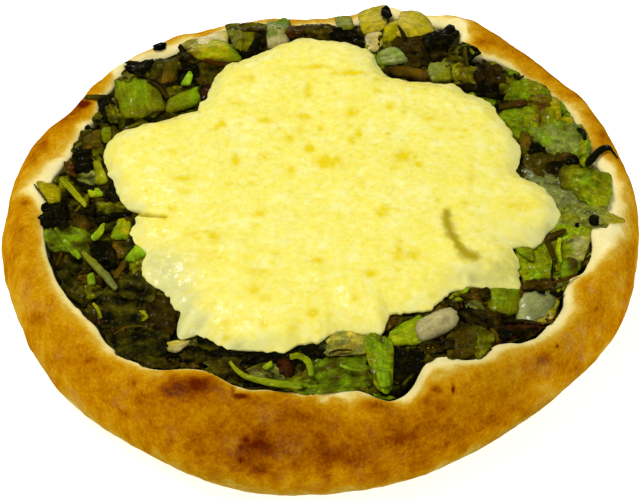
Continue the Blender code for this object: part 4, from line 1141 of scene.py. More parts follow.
# Kind, four corners in pixels of the photograph, rise above what lies under it, arch across it and one colour
# or two.  The piece's fibres run from the side between the first two corners to that between the last two.
PATCHES = (
    # Far left, from the upper left of the ring to the far side.
    ("leaf", 98, 98, 113, 96, 120, 126, 103, 124, 0.2, 0.4, "black"),
    ("leaf", 105, 108, 114, 103, 124, 119, 111, 123, 0.3, 0.8, "moss", "olive"),
    ("petal", 86, 95, 86, 99, 112, 99, 112, 95, 0.2, 0.3, "moss", "black"),
    ("stalk", 121, 119, 166, 110, 158, 82, 113, 80, 0.5, 0.5, "olive", "green"),
    ("leaf", 118, 80, 130, 82, 140, 74, 126, 70, 0.7, 0.4, "olive", "umber"),
    ("leaf", 126, 72, 143, 78, 155, 59, 128, 61, 0.8, 0.5, "black"),
    ("leaf", 148, 82, 168, 86, 178, 62, 156, 59, 0.3, 0.6, "umber", "moss"),
    ("petal", 160, 84, 178, 80, 178, 60, 167, 60, 0.4, 0.5, "brown", "moss"),
    ("leaf", 152, 42, 154, 50, 166, 49, 164, 41, 0.3, 0.4, "black"),
    ("leaf", 178, 44, 178, 60, 196, 58, 192, 44, 0.4, 0.5, "black", "umber"),
    ("petal", 180, 43, 200, 61, 244, 62, 222, 34, 0.5, 0.5, "mustard", "green"),
    ("soft", 196, 37, 200, 49, 228, 47, 228, 30, 0.5, 0.1, "cream", "straw"),
    ("leaf", 198, 60, 197, 84, 214, 88, 220, 66, 0.2, 0.5, "umber", "moss"),
    ("leaf", 178, 70, 180, 86, 199, 84, 196, 62, 0.2, 0.5, "black"),
    ("leaf", 164, 88, 167, 100, 184, 98, 184, 86, 0.2, 0.4, "umber", "olive"),
    ("petal", 168, 99, 169, 113, 200, 104, 199, 86, 0.4, 0.5, "olive", "green"),
    ("petal", 181, 84, 190, 86, 193, 74, 189, 72, 0.8, 0.6, "bright"),
    ("lump", 200, 88, 203, 103, 215, 92, 211, 84, 0.5, 0.5, "black", "maroon"),
    ("sheet", 227, 26, 262, 22, 256, 54, 238, 54, 0.5, 0.7, "moss", "olive"),
    ("leaf", 255, 26, 268, 26, 266, 50, 256, 50, 0.1, 0.6, "umber", "black"),
    # Far side.
    ("leaf", 240, 21, 268, 22, 266, 30, 240, 31, 0.3, 0.4, "olive", "umber"),
    ("petal", 268, 20, 290, 18, 288, 46, 268, 48, 0.5, 0.5, "green", "pale"),
    ("leaf", 286, 26, 290, 39, 316, 39, 314, 22, 0.2, 0.5, "maroon", "black"),
    ("leaf", 306, 23, 306, 39, 342, 40, 336, 25, 0.2, 0.5, "moss", "umber"),
    ("leaf", 332, 25, 334, 40, 367, 50, 359, 30, 0.3, 0.5, "black"),
    ("petal", 335, 17, 337, 30, 353, 30, 352, 16, 0.3, 0.3, "sage", "olive"),
    ("petal", 358, 14, 363, 35, 386, 30, 388, 3, 0.8, 0.3, "mustard", "straw"),
    ("leaf", 380, 9, 383, 21, 392, 15, 387, 6, 1.3, 0.5, "black"),
    ("soft", 367, 33, 367, 51, 382, 50, 383, 31, 0.1, 0.1, "cream", "straw"),
    ("petal", 384, 25, 384, 42, 403, 38, 400, 17, 0.6, 0.5, "olive", "mustard"),
    ("petal", 400, 13, 400, 40, 440, 35, 418, 11, 0.8, 0.4, "straw", "mustard"),
    ("leaf", 396, 38, 408, 66, 448, 62, 442, 34, 0.3, 0.6, "umber", "black"),
    ("leaf", 425, 36, 428, 50, 457, 40, 455, 24, 0.7, 0.8, "black"),
    ("leaf", 404, 52, 404, 67, 428, 67, 430, 50, 0.3, 0.6, "umber", "black"),
    ("petal", 378, 52, 379, 67, 409, 62, 395, 45, 0.5, 0.6, "green", "clear"),
    ("petal", 385, 75, 391, 65, 426, 70, 430, 82, 0.5, 1.2, "umber", "brown"),
    ("petal", 429, 64, 430, 82, 452, 81, 449, 62, 0.3, 0.3, "sage", "olive"),
    ("leaf", 450, 64, 452, 80, 468, 84, 468, 63, 0.3, 0.4, "olive", "brown"),
    ("leaf", 462, 66, 461, 80, 480, 90, 484, 66, 0.4, 0.6, "brown", "olive"),
    ("leaf", 474, 58, 480, 90, 508, 90, 502, 66, 0.7, 0.7, "black", "umber"),
    ("leaf", 456, 82, 462, 93, 504, 100, 500, 88, 0.3, 0.4, "black"),
    ("leaf", 500, 82, 500, 97, 518, 96, 516, 78, 0.3, 0.5, "olive", "umber"),
    # Right.
    ("sheet", 504, 100, 514, 79, 539, 82, 554, 100, 0.4, 0.3, "olive", "green"),
    ("petal", 540, 97, 548, 122, 562, 121, 558, 97, 0.6, 0.4, "olive", "mustard"),
    ("leaf", 530, 96, 532, 110, 552, 108, 548, 94, 0.3, 0.4, "olive", "brown"),
    ("sheet", 500, 108, 514, 138, 562, 146, 556, 108, 0.4, 0.4, "green", "olive"),
    ("sheet", 526, 109, 522, 132, 538, 136, 540, 110, 0.2, 0.3, "green", "olive"),
    ("petal", 560, 118, 562, 127, 573, 126, 572, 118, 0.4, 0.3, "olive", "mustard"),
    ("sheet", 534, 128, 550, 162, 590, 160, 582, 124, 0.5, 0.5, "green", "sage"),
    ("leaf", 580, 140, 580, 168, 590, 166, 588, 134, 0.3, 0.3, "olive", "green"),
    ("leaf", 519, 137, 523, 161, 531, 159, 530, 130, 0.2, 0.4, "moss", "brown"),
    # This black leaf and the small black ones at (545, 165) and (567, 158) are painted shade in hollows.
    ("leaf", 528, 148, 530, 158, 547, 154, 541, 142, 0.3, 0.4, "black"),
    ("sheet", 518, 160, 542, 182, 572, 172, 548, 152, 0.1, 0.3, "moss", "umber"),
    ("leaf", 555, 152, 556, 164, 576, 164, 574, 154, 0.2, 0.4, "umber", "black"),
    ("leaf", 545, 165, 550, 175, 564, 170, 560, 161, 0.3, 0.4, "black"),
    ("leaf", 567, 158, 569, 166, 580, 165, 577, 156, 0.3, 0.4, "black"),
    ("soft", 508, 164, 530, 186, 568, 198, 550, 172, 0.1, 0.05, "film", "sage"),
    ("sheet", 534, 178, 560, 222, 606, 216, 586, 188, 0.15, 0.05, "sage", "film"),
    ("sheet", 558, 204, 553, 236, 590, 237, 604, 206, 0.15, 0.1, "sage", "olive"),
    ("petal", 560, 166, 560, 188, 578, 192, 580, 164, 0.4, 0.4, "moss", "olive"),
    ("sheet", 579, 166, 573, 195, 607, 211, 613, 177, 0.6, 0.6, "olive", "green"),
    ("sheet", 578, 204, 578, 227, 606, 228, 608, 208, 0.12, 0.05, "sage", "olive"),
    ("lump", 589, 217, 590, 225, 599, 225, 599, 216, 0.7, 0.5, "black"),
    ("lump", 575, 223, 575, 227, 579, 227, 579, 223, 0.5, 0.5, "black"),
    ("sheet", 553, 228, 552, 268, 582, 268, 591, 228, 0.3, 0.3, "olive", "green"),
    ("sheet", 571, 237, 570, 260, 584, 262, 589, 234, 0.15, 0.1, "sage", "straw"),
    ("petal", 561, 259, 562, 279, 578, 276, 574, 257, 0.4, 0.5, "green", "umber"),
    ("sheet", 516, 246, 523, 284, 553, 283, 551, 246, 0.3, 0.4, "olive", "green"),
    ("petal", 513, 242, 519, 254, 534, 262, 532, 246, 0.4, 0.4, "green", "olive"),
    ("leaf", 520, 289, 523, 280, 556, 279, 556, 290, 0.3, 0.4, "umber"),
    # Near right.
    ("petal", 541, 294, 536, 323, 550, 322, 561, 300, 0.15, 0.3, "straw", "olive"),
    ("soft", 518, 291, 517, 320, 546, 321, 555, 294, 0.3, 0.15, "clear", "film"),
    ("stalk", 488, 286, 521, 286, 516, 314, 488, 312, 0.4, 0.5, "green", "olive"),
    ("leaf", 469, 281, 472, 298, 488, 300, 487, 281, 0.4, 0.6, "umber", "black"),
    ("leaf", 446, 299, 462, 302, 472, 287, 460, 285, 0.3, 0.4, "olive", "green"),
    ("leaf", 460, 294, 464, 304, 482, 306, 480, 293, 0.5, 0.9, "umber", "brown"),
    ("leaf", 465, 300, 469, 313, 485, 316, 483, 302, 0.3, 0.4, "sage", "moss"),
    ("leaf", 462, 306, 466, 326, 502, 332, 500, 312, 0.2, 0.6, "black", "umber"),
    ("leaf", 498, 322, 499, 340, 520, 336, 540, 324, 0.2, 0.5, "black", "maroon"),
    ("sheet", 450, 329, 449, 356, 482, 354, 480, 326, 0.4, 0.5, "umber", "moss"),
    ("leaf", 478, 328, 475, 358, 488, 354, 496, 332, 0.2, 0.4, "olive", "moss"),
    ("leaf", 418, 342, 424, 354, 452, 350, 452, 338, 0.2, 0.4, "umber", "black"),
    ("petal", 389, 332, 392, 346, 430, 341, 419, 314, 0.5, 0.5, "lime", "green"),
    ("soft", 414, 322, 421, 341, 460, 325, 452, 306, 0.6, 0.7, "pale"),
    ("leaf", 386, 310, 386, 330, 398, 324, 402, 311, 0.2, 0.4, "brown", "umber"),
    ("leaf", 418, 312, 440, 300, 446, 296, 424, 306, 0.2, 0.2, "black"),
    ("leaf", 390, 346, 388, 386, 414, 378, 422, 350, 0.0, 0.4, "black"),
    # Near side.
    # The black leaves along the cheese's front edge are partly dark leaves and partly painted shadow under
    # that edge.
    ("leaf", 182, 345, 182, 365, 252, 366, 252, 346, 0.2, 0.3, "black"),
    ("leaf", 246, 348, 246, 364, 322, 362, 340, 332, 0.2, 0.3, "black"),
    ("leaf", 196, 342, 205, 342, 201, 332, 199, 332, 0.6, 0.3, "black"),
    ("leaf", 204, 356, 206, 374, 240, 378, 240, 358, 0.3, 0.5, "moss", "umber"),
    ("sheet", 306, 358, 302, 391, 366, 387, 374, 350, 0.2, 0.3, "moss", "green"),
    ("sheet", 320, 355, 338, 327, 378, 331, 372, 352, 0.7, 0.3, "sage", "straw"),
    ("sheet", 365, 335, 391, 338, 392, 386, 374, 387, 0.6, 0.6, "green", "olive"),
    # This bright petal is partly a painted highlight on the green sheet.
    ("petal", 375, 372, 391, 371, 390, 386, 379, 388, 0.6, 0.6, "green", "bright"),
    ("sheet", 244, 370, 260, 381, 286, 379, 274, 361, 0.3, 0.3, "sage", "moss"),
    ("petal", 262, 367, 266, 370, 273, 366, 271, 361, 0.6, 0.5, "bright", "lime"),
    ("leaf", 277, 359, 279, 376, 293, 376, 289, 358, 0.3, 0.4, "maroon", "black"),
    ("leaf", 286, 378, 288, 392, 318, 394, 316, 376, 0.2, 0.4, "olive", "green"),
    # Near left.
    ("sheet", 146, 290, 140, 330, 174, 338, 172, 300, 0.2, 0.3, "umber", "black"),
    ("sheet", 112, 338, 122, 359, 168, 355, 166, 328, 0.4, 0.7, "black", "moss"),
    ("petal", 167, 342, 168, 351, 180, 352, 195, 337, 0.25, 0.1, "straw", "pale"),
    ("leaf", 139, 356, 140, 366, 168, 367, 166, 358, 0.3, 0.4, "moss", "umber"),
    ("leaf", 180, 352, 182, 365, 206, 362, 204, 350, 0.3, 0.4, "umber", "moss"),
    ("leaf", 134, 312, 137, 321, 148, 319, 146, 310, 0.3, 0.4, "lime", "olive"),
    ("petal", 87, 275, 89, 286, 95, 284, 93, 273, 0.5, 0.5, "bright", "green"),
    ("leaf", 82, 284, 88, 300, 104, 296, 98, 282, 0.2, 0.4, "olive", "moss"),
    ("sheet", 98, 294, 104, 330, 142, 326, 134, 292, 0.2, 0.4, "black", "moss"),
    ("sheet", 118, 276, 124, 298, 156, 302, 152, 276, 0.2, 0.4, "moss", "black"),
    # Left.
    ("leaf", 112, 240, 116, 258, 130, 256, 126, 238, 0.3, 0.6, "brown", "moss"),
    ("leaf", 126, 258, 134, 274, 148, 266, 144, 254, 0.3, 0.4, "olive", "moss"),
    ("petal", 124, 259, 133, 262, 150, 253, 138, 243, 0.4, 0.4, "green", "bright"),
    ("sheet", 44, 224, 52, 254, 96, 252, 80, 218, 0.3, 0.4, "moss", "green"),
    ("leaf", 72, 206, 72, 226, 96, 232, 96, 208, 0.2, 0.5, "umber", "black"),
    ("leaf", 40, 203, 43, 228, 70, 226, 68, 201, 0.4, 0.8, "black"),
    ("leaf", 91, 244, 94, 268, 117, 265, 113, 240, 0.4, 0.8, "black"),
    ("petal", 111, 238, 131, 240, 131, 221, 118, 218, 0.4, 0.4, "green", "mustard"),
    ("leaf", 104, 203, 124, 202, 115, 184, 111, 183, 0.4, 0.3, "black"),
    ("leaf", 92, 202, 96, 216, 128, 212, 120, 202, 0.2, 0.5, "moss", "olive"),
    ("petal", 88, 190, 90, 197, 104, 196, 98, 188, 0.6, 0.6, "lime", "bright"),
    ("petal", 92, 160, 96, 186, 109, 183, 100, 162, 0.4, 0.6, "olive", "lime"),
    ("leaf", 78, 168, 78, 186, 96, 186, 94, 170, 0.3, 0.5, "moss", "sage"),
    ("leaf", 75, 148, 74, 174, 90, 172, 92, 148, 0.4, 0.5, "black"),
    ("leaf", 64, 162, 68, 180, 76, 178, 74, 164, 0.4, 0.4, "umber", "maroon"),
    ("leaf", 84, 134, 84, 150, 101, 148, 102, 130, 0.4, 0.5, "moss", "brown"),
    ("petal", 102, 129, 102, 142, 111, 144, 110, 127, 0.5, 0.5, "green", "olive"),
    ("petal", 35, 181, 48, 203, 60, 203, 60, 185, 0.35, 0.1, "mustard"),
)
# First width and last width in pixels, rise, two colours and the places along the middle, in pixels.
STRANDS = (
    (9.5, 2.2, 0.6, "black", "black", (587, 165), (593, 157), (600, 150), (606, 146), (611, 146), (617, 151),
     (621, 158)),
    (4.0, 4.0, 0.6, "maroon", "umber", (205, 60), (222, 65), (240, 61)),
    (16.0, 1.5, 0.12, "sage", "mustard", (596, 216), (606, 218), (617, 220), (629, 222)),
    (6.0, 9.0, 0.3, "black", "black", (240, 52), (247, 57), (253, 50), (258, 40)),
    (2.5, 5.0, 0.8, "umber", "black", (398, 26), (402, 32), (406, 40)),
    (3.0, 2.0, 0.5, "black", "black", (514, 74), (518, 79), (524, 76)),
    (4.0, 7.0, 0.4, "umber", "umber", (499, 107), (512, 104), (526, 102)),
    (4.0, 4.5, 0.5, "black", "black", (577, 129), (583, 132), (585, 141)),
    (7.0, 4.0, 0.5, "umber", "umber", (545, 239), (554, 235), (566, 230)),
    (6.0, 5.0, 0.6, "umber", "umber", (547, 240), (551, 250), (555, 261)),
    (5.0, 4.0, 0.5, "lime", "green", (560, 238), (558, 250), (561, 263)),
    (3.0, 5.0, 0.5, "black", "black", (70, 176), (78, 183), (94, 189)),
    (1.8, 1.8, 0.7, "black", "black", (553, 261), (552, 270), (552, 284)),
    (3.5, 2.5, 0.6, "umber", "maroon", (552, 283), (565, 280), (577, 274)),
    (3.0, 4.0, 0.4, "black", "black", (536, 290), (545, 293)),
    (4.0, 5.0, 0.4, "black", "black", (550, 291), (558, 296), (563, 291)),
    (4.0, 2.0, 0.6, "black", "umber", (500, 321), (520, 320), (541, 323)),
    (7.0, 3.0, 0.6, "black", "black", (500, 334), (518, 333), (538, 327)),
    (2.5, 2.0, 0.9, "black", "umber", (329, 353), (338, 350), (352, 350)),
    (3.5, 2.0, 0.7, "bright", "green", (340, 365), (350, 369), (362, 371)),
    (6.0, 7.0, 0.6, "lime", "green", (290, 357), (300, 355), (309, 362), (312, 376)),
    (4.0, 8.0, 0.7, "lime", "green", (230, 362), (237, 374), (252, 379), (275, 384), (302, 386)),
    (4.0, 8.0, 0.5, "green", "bright", (55, 228), (65, 242), (80, 258)),
    (7.0, 8.0, 0.5, "olive", "film", (82, 252), (92, 262), (105, 275), (116, 289)),
    (3.0, 3.5, 0.5, "lime", "olive", (93, 303), (98, 309), (101, 318)),
    (1.6, 1.6, 0.6, "brown", "moss", (114, 334), (124, 327), (140, 325), (155, 331)),
    (7.0, 6.0, 0.8, "olive", "lime", (61, 178), (72, 190), (86, 206)),
    (5.0, 8.0, 0.5, "lime", "bright", (104, 223), (100, 232), (92, 239)),
    (8.0, 2.0, 0.4, "black", "black", (96, 221), (114, 216), (130, 213), (145, 213)),
    (5.0, 5.0, 0.4, "black", "umber", (150, 80), (160, 86), (168, 98)),
    (2.0, 2.0, 0.3, "umber", "moss", (34, 184), (40, 192), (47, 201)),
    (3.0, 3.0, 0.5, "moss", "olive", (470, 49), (474, 54)),
)

# Soft stains over the pieces, and painted light: the darkest in hollows and under the cheese's front edge are
# painted shade, the cream one on the pale oval a painted highlight.  Each has a pixel, half sizes in pixels,
# colour and how strong.
STAINS_AND_PAINTED_LIGHT = (
    (140, 66, 15, 7, "black", 0.9), (125, 86, 8, 8, "olive", 0.5), (140, 98, 10, 9, "green", 0.3),
    (156, 93, 6, 8, "umber", 0.6), (152, 112, 13, 3, "umber", 0.6), (133, 77, 14, 3, "umber", 0.6),
    (164, 104, 5, 7, "moss", 0.6), (104, 106, 4, 12, "black", 0.9), (117, 121, 9, 5, "black", 0.9),
    (186, 51, 9, 7, "black", 0.9), (196, 53, 5, 4, "maroon", 0.6), (212, 61, 20, 3, "maroon", 0.8),
    (178, 76, 4, 8, "black", 0.9), (188, 67, 10, 5, "black", 0.8), (197, 76, 4, 6, "black", 0.8),
    (80, 158, 8, 14, "black", 0.8), (66, 196, 6, 6, "black", 0.8), (50, 252, 6, 12, "black", 0.8),
    (62, 258, 12, 10, "umber", 0.5), (104, 252, 11, 12, "black", 0.8), (104, 214, 22, 5, "black", 0.8),
    (120, 243, 7, 5, "umber", 0.8), (142, 292, 12, 6, "black", 0.5), (160, 326, 11, 14, "black", 0.5),
    (112, 330, 18, 9, "black", 0.3), (138, 354, 34, 5, "black", 0.6), (98, 322, 6, 4, "maroon", 0.6),
    # The black ones at (210, 352) and (300, 350) are partly dark leaves and partly painted shadow under the
    # cheese's front edge.
    (165, 304, 6, 10, "umber", 0.6), (72, 292, 10, 16, "umber", 0.5), (210, 352, 28, 9, "black", 0.8),
    (300, 350, 30, 7, "black", 0.7), (262, 370, 14, 5, "brown", 0.4), (285, 368, 7, 9, "maroon", 0.8),
    (303, 372, 4, 6, "brown", 0.7), (352, 374, 9, 4, "umber", 0.8), (369, 373, 7, 7, "maroon", 0.95),
    (350, 350, 9, 5, "umber", 0.8), (290, 388, 6, 4, "olive", 0.7), (66, 231, 9, 5, "umber", 0.8),
    (84, 226, 6, 5, "brown", 0.8), (74, 246, 8, 4, "umber", 0.8), (86, 244, 7, 5, "black", 0.7),
    (56, 236, 5, 8, "moss", 0.6), (530, 120, 6, 8, "olive", 0.5), (333, 376, 9, 4, "umber", 0.5),
    (338, 354, 12, 3, "umber", 0.8), (362, 353, 4, 3, "maroon", 0.6), (325, 388, 16, 4, "green", 0.6),
    # The bright one at (382, 378) is bright green and partly a painted highlight.
    (356, 340, 10, 8, "straw", 0.6), (332, 343, 9, 6, "sage", 0.7), (382, 378, 6, 8, "bright", 0.5),
    (404, 364, 11, 18, "black", 0.9), (392, 318, 5, 9, "umber", 0.7), (466, 352, 14, 3, "maroon", 0.7),
    (488, 322, 22, 8, "black", 0.7), (528, 325, 14, 2, "maroon", 0.7), (541, 115, 7, 14, "brown", 1.0),
    (541, 106, 4, 5, "maroon", 0.7), (528, 103, 14, 3, "maroon", 0.7), (545, 104, 5, 4, "maroon", 0.5),
    # The black ones at (536, 148), (573, 160) and (554, 168) are painted shade in hollows.
    (545, 138, 7, 6, "bright", 0.6), (565, 140, 13, 8, "sage", 0.5), (536, 148, 9, 6, "black", 0.9),
    (573, 160, 6, 4, "black", 0.9), (554, 168, 9, 5, "black", 0.9), (559, 184, 8, 3, "black", 0.7),
    (545, 156, 18, 4, "umber", 0.6), (565, 128, 4, 3, "brown", 0.6), (540, 170, 16, 6, "umber", 0.6),
    (520, 168, 8, 4, "film", 0.6), (584, 194, 6, 4, "lime", 0.4), (601, 198, 9, 13, "lime", 0.6),
    # The cream one at (437, 316) is a painted highlight on the pale oval.
    (437, 316, 5, 4, "cream", 0.5), (580, 246, 7, 10, "pale", 0.6), (574, 268, 5, 8, "umber", 0.5),
    (538, 284, 16, 5, "umber", 0.6), (528, 258, 4, 4, "umber", 0.5), (540, 262, 8, 14, "green", 0.4),
    (512, 130, 8, 7, "green", 0.5), (478, 78, 20, 9, "black", 0.5), (492, 92, 20, 6, "black", 0.9),
    (466, 76, 5, 6, "olive", 0.5), (440, 44, 14, 8, "black", 0.8), (418, 60, 12, 5, "umber", 0.6),
    (350, 38, 22, 6, "black", 0.8), (300, 30, 20, 8, "umber", 0.5), (262, 42, 5, 12, "black", 0.8),
    (240, 28, 14, 3, "black", 0.7), (390, 74, 4, 6, "black", 0.9), (405, 78, 18, 3, "black", 0.8),
)

# ---- Greens: the small pieces between them ----

# Colours of the small pieces round the ring: up to which angle, and the colours to draw from.
ZONES = (
    (20, ("sage", "olive", "green", "pale", "umber", "moss")),
    (45, ("green", "olive", "green", "brown", "umber", "maroon")),
    (66, ("moss", "umber", "black", "olive", "black", "moss")),
    (80, ("mustard", "olive", "umber", "moss", "black", "olive")),
    (105, ("black", "umber", "moss", "black", "olive", "sage")),
    (150, ("olive", "moss", "umber", "umber", "black", "black")),
    (175, ("black", "moss", "olive", "black", "umber", "moss")),
    (195, ("moss", "olive", "umber", "black", "umber", "black")),
    (263, ("black", "umber", "black", "moss", "brown", "umber")),
    (286, ("olive", "green", "moss", "umber", "black", "moss")),
    (300, ("black", "umber", "black", "moss", "olive", "black")),
    (330, ("umber", "moss", "brown", "black", "black", "maroon")),
    (361, ("green", "olive", "sage", "moss", "umber", "olive")),
)
DARKEST = 0.3               # range of a piece's shade
LIGHTEST = 1.8
FILL_SEED = 23
FILL_PIECES = 700
FILL_KINDS = ("leaf", "leaf", "leaf", "leaf", "leaf", "leaf", "petal", "strand", "strand", "strand")
# Usual length, width as a share of it, rise above what lies under it and largest tilt of the small pieces.
FILL_SIZES = {
    "leaf": (3.8, 0.60, 0.15, 30.0), "petal": (2.6, 0.60, 0.1, 20.0), "strand": (4.0, 0.20, 0.25, 10.0),
}


def formed(kind, length, width, arch, colours, draw, fine):
    """Places, relief, thickness and looks of a piece on its own grid.  The looks are tint and fibres."""
    form, large, small, _ = KINDS[kind]
    rows, columns = large if fine else small
    u, w = np.meshgrid(np.linspace(-1.0, 1.0, rows), np.linspace(-1.0, 1.0, columns), indexing="ij")
    u, w, relief, thickness, share, shade = form(u, w, length, width, arch, draw)
    # The tint carries the form's painted shade.
    shade = np.clip(shade * draw.uniform(0.9, 1.15), DARKEST, LIGHTEST)
    tint = blend_tints(colours[0], colours[-1], share) * shade[..., None]
    fibres = np.stack([u * length / 2.0, w * width / 2.0, np.full(u.shape, draw.uniform(0.0, 99.0))], -1)
    return u, w, relief, thickness, np.concatenate([tint, fibres], -1)


def small_piece(heights, angle, draw):
    """One of the scattered pieces: its kind, and its points, faces and looks."""
    inner = cheese_edge(np.array([angle]))[0] - 0.5
    outer = free_radius(np.array([angle]), CORE_EDGE_HEIGHT)[0] + 0.6
    centre_x, centre_y = polar(angle, inner + (outer - inner) * draw.random() ** 0.8)
    kind = draw.choice(FILL_KINDS)
    usual, narrow, rise, tilt = FILL_SIZES[kind]
    length = usual * draw.uniform(0.6, 1.5)
    width = length * narrow * draw.uniform(0.7, 1.3)
    choices = next(colours for end, colours in ZONES if angle < end)
    colours = (draw.choice(choices), draw.choice(choices))
    u, w, relief, thickness, looks = formed(kind, length, width, draw.uniform(0.1, 0.9), colours, draw, False)
    heading, roll = math.radians(draw.uniform(0.0, 360.0)), math.radians(draw.uniform(-tilt, tilt))
    along, across = length / 2.0 * u, width / 2.0 * w * math.cos(roll)
    across = across + draw.uniform(-0.08, 0.08) * length * u * u
    x = centre_x + along * math.cos(heading) - across * math.sin(heading)
    y = centre_y + along * math.sin(heading) + across * math.cos(heading)
    radius = np.hypot(x, y)
    limit = free_radius(angle_of(x, y), CORE_EDGE_HEIGHT) + 0.8
    x, y = x * np.minimum(1.0, limit / radius), y * np.minimum(1.0, limit / radius)
    ground = ground_under(smoothed(heights), x, y, KINDS[kind][3])
    z = held_clear(x, y, ground + rise + relief + math.sin(roll) * width / 2.0 * w)
    mark(heights, x, y, z + thickness / 2.0)
    return kind, slab(np.stack([x, y, z], 2), thickness, looks)


def laid_by_photo(heights, kind, across, down, relief, thickness, looks, rise):
    """Piece whose points are given as pixels: each goes where it shows there, at the height it rests at."""
    low = smoothed(heights)
    z = np.full(across.shape, LEVEL)
    for _ in range(SETTLE_ROUNDS):
        x, y = seen_through(across, down, z)
        reach = (belly_radius(angle_of(x, y)) + lip_radius(angle_of(x, y))) / 2.0 + 1.0
        inward = np.minimum(1.0, reach / np.hypot(x, y))
        x, y = x * inward, y * inward
        rested = held_clear(x, y, ground_under(low, x, y, KINDS[kind][3]) + rise + relief)
        z = (1.0 - SETTLE_SHARE) * z + SETTLE_SHARE * rested
    mark(heights, x, y, z + thickness / 2.0)
    return slab(np.stack([x, y, z], 2), thickness, looks)


def patch_piece(heights, row, draw):
    """A piece given by its four corners."""
    kind, places, rise, arch, colours = row[0], row[1:9], row[9], row[10], row[11:]
    corners = np.array(places, float).reshape(4, 2)
    long_side = (corners[2] + corners[3] - corners[0] - corners[1]) / 2.0
    short_side = (corners[1] + corners[2] - corners[0] - corners[3]) / 2.0
    length, width = (math.hypot(x / PIXELS_ACROSS, y / PIXELS_UP) for x, y in (long_side, short_side))
    u, w, relief, thickness, looks = formed(kind, length, width, arch, colours, draw, True)
    s, t = (u + 1.0) / 2.0, (w + 1.0) / 2.0
    near = corners[0] + (corners[1] - corners[0]) * t[..., None]
    far = corners[3] + (corners[2] - corners[3]) * t[..., None]
    places = near + (far - near) * s[..., None]
    return kind, laid_by_photo(heights, kind, places[..., 0], places[..., 1], relief, thickness, looks, rise)


def strand_piece(heights, row, draw):
    """A narrow piece given by the places along its middle."""
    first_width, last_width, rise, first, second, *places = row
    places = np.array(places, float)
    steps = np.concatenate([[0.0], np.cumsum(np.hypot(*np.diff(places, axis=0).T))])
    length, width = steps[-1] / PIXELS_ACROSS, (first_width + last_width) / 2.0 / PIXELS_ACROSS
    u, w, relief, thickness, looks = formed("strand", length, width, 0.3, (first, second), draw, True)
    s = (u[:, 0] + 1.0) / 2.0
    line = np.stack([np.interp(s * steps[-1], steps, places[:, axis]) for axis in (0, 1)], 1)
    for _ in range(2 * len(places)):
        line[1:-1] = (line[:-2] + line[1:-1] + line[2:]) / 3.0
    ahead = np.gradient(line, axis=0)
    ahead /= np.hypot(ahead[:, 0], ahead[:, 1])[:, None]
    half = w * (first_width + (last_width - first_width) * s)[:, None] / 2.0
    across, down = line[:, :1] - half * ahead[:, 1:], line[:, 1:] + half * ahead[:, :1]
    return "strand", laid_by_photo(heights, "strand", across, down, relief, thickness, looks, rise)


def with_stains_and_painted_light(points, tint):
    """The points' colours with the soft stains, painted shade and painted highlights over them."""
    across, down = pixel_of(points)
    ragged = held(0.9 + 0.9 * uneven_at(points, 1.3, 17.0))
    for centre, height, wide, high, colour, amount in STAINS_AND_PAINTED_LIGHT:
        near = ((across - centre) / wide) ** 2 + ((down - height) / high) ** 2
        share = amount * np.exp(-near ** 1.5) * ragged
        tint = tint + (np.array(PALETTE[colour]) - tint) * share[:, None]
    return tint


def make_pieces():
    """All chopped pieces, laid one on another and joined to one mesh a kind, or two for the small scraps."""
    draw = random.Random(FILL_SEED)
    heights = heap_map()
    order = [360.0 * number / FILL_PIECES for number in range(FILL_PIECES)]
    draw.shuffle(order)
    laid = []
    for angle, scrap in zip(order, itertools.cycle(("scrap_a", "scrap_b"))):
        kind, mesh = small_piece(heights, angle, draw)
        laid.append((scrap if kind == "leaf" else kind, mesh))
    laid += [patch_piece(heights, row, draw) for row in PATCHES]
    laid += [strand_piece(heights, row, draw) for row in STRANDS]
    wilted = greens_material("wilted_scrap", 0.5, 0.15, 0.25, 0.0, 0.14)
    looks = {
        "scrap_a": wilted,
        "scrap_b": wilted,
        "leaf": greens_material("wilted_leaf", 0.5, 0.20, 0.25, 0.0, 0.12),
        "sheet": greens_material("limp_leaf", 0.42, 0.10, 0.22, 0.15, 0.08),
        "petal": greens_material("fleshy_leaf", 0.42, 0.14, 0.18, 0.22, 0.06),
        "stalk": greens_material("stalk_flesh", 0.42, 0.26, 0.18, 0.20, 0.06),
        "lump": greens_material("soft_chunk", 0.38, 0.10, 0.22, 0.10, 0.10),
        "soft": greens_material("clear_flesh", 0.22, 0.03, 0.14, 0.40, 0.05, 0.12),
        "strand": greens_material("shred", 0.45, 0.25, 0.15, 0.1, 0.06),
    }
    for kind, look in looks.items():
        meshes = [mesh for name, mesh in laid if name == kind]
        starts = np.cumsum([0] + [len(points) for points, _, _ in meshes])
        points = np.concatenate([points for points, _, _ in meshes])
        faces = np.concatenate([faces + start for start, (_, faces, _) in zip(starts, meshes)])
        values = np.concatenate([values for _, _, values in meshes])
        tint = opaque(held(with_stains_and_painted_light(points, values[:, :3])))
        fibre = opaque(values[:, 3:])
        new_piece(f"greens_{kind}", points, faces.tolist(), look, "greens", tint=tint, fibre=fibre)


# ---- Stage ----

FLOOR_SIZE = 3.0
FLOOR_GLOW = 0.6
WORLD_STRENGTH = 0.30
# Each light's name, place and size in metres, and power.
LIGHTS = (("key", (-0.35, 0.25, 0.8), 0.45, 5.6), ("fill", (0.3, -0.7, 0.5), 0.6, 3.0))
WHITE = (1.0, 1.0, 1.0, 1.0)


def add_light(name, place, size, power):
    """Soft square light that points at the bread."""
    data = bpy.data.lights.new(name, "AREA")
    data.size = size
    data.energy = power
    light = add_object(name, data)
    light.location = place
    light.rotation_euler = (-Vector(place)).to_track_quat("-Z", "Y").to_euler()


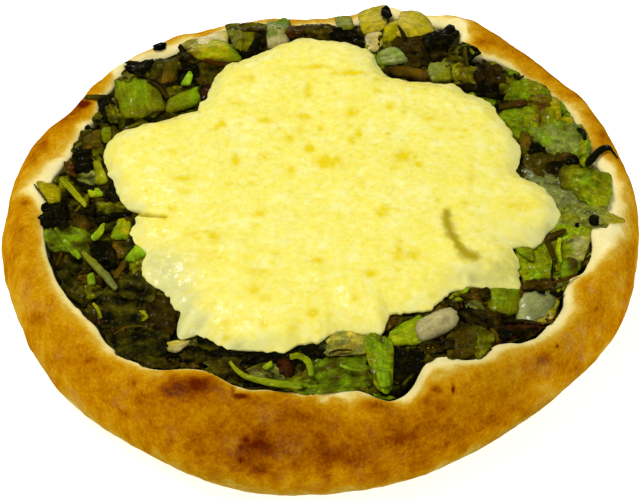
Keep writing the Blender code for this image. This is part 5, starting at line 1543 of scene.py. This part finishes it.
def make_stage():
    """Pale floor and soft white studio light."""
    material, tree, shader = start_material("pale_floor")
    set_inputs(tree, shader, {
        "Base Color": span(tree, grain(tree, 60.0), 0.3, 0.7, 0.90, 0.94),
        "Roughness": 0.9,
        "Emission Color": WHITE,
        "Emission Strength": FLOOR_GLOW,
    })
    half = FLOOR_SIZE / 2.0
    corners = [(-half, -half, 0.0), (half, -half, 0.0), (half, half, 0.0), (-half, half, 0.0)]
    mesh = bpy.data.meshes.new("floor")
    mesh.from_pydata(corners, [], [(0, 1, 2, 3)])
    mesh.materials.append(material)
    add_object("floor", mesh)

    world = bpy.data.worlds.new("studio")
    world.use_nodes = True
    background = world.node_tree.nodes["Background"]
    set_inputs(world.node_tree, background, {"Color": WHITE, "Strength": WORLD_STRENGTH})
    bpy.context.scene.world = world
    for light in LIGHTS:
        add_light(*light)
    bpy.context.scene.view_settings.view_transform = "Standard"


def make_camera(shift):
    """Camera that sees the bread as the photograph does."""
    data = bpy.data.cameras.new("camera")
    data.sensor_fit = "HORIZONTAL"
    data.sensor_width = SENSOR_WIDTH
    data.lens = FOCAL_PIXELS * SENSOR_WIDTH / IMAGE_WIDTH
    data.clip_start = 0.01
    camera = add_object("camera", data)
    camera.location = (CAMERA_TARGET + shift + TOWARDS_CAMERA * CAMERA_DISTANCE) * MM
    camera.rotation_euler = (QUARTER - CAMERA_TILT, 0.0, 0.0)
    bpy.context.scene.camera = camera


def bread_shift():
    """How far the part's source moved its pieces to centre the crust, in millimetres."""
    turn = np.arange(0.0, 360.0, SOURCE_STEP)
    x, y = polar(turn, belly_radius(turn))
    low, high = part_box("crust")
    middle = (np.array(low) + np.array(high)) / 2.0 / MM
    return middle * (1.0, 1.0, 0.0) - ((x.min() + x.max()) / 2.0, (y.min() + y.max()) / 2.0, 0.0)


def move_all(shift):
    """Moves every new piece's mesh alike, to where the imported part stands."""
    for piece in bpy.context.scene.objects:
        if piece.type == "MESH" and "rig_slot" in piece:
            places = np.empty(len(piece.data.vertices) * 3, np.float32)
            piece.data.vertices.foreach_get("co", places)
            places = places.reshape(-1, 3) + shift * MM
            piece.data.vertices.foreach_set("co", places.ravel())
            piece.data.update()


make_crust()
make_cheese()
make_core()
make_pieces()
source_shift = bread_shift()
move_all(source_shift)
make_stage()
make_camera(source_shift)
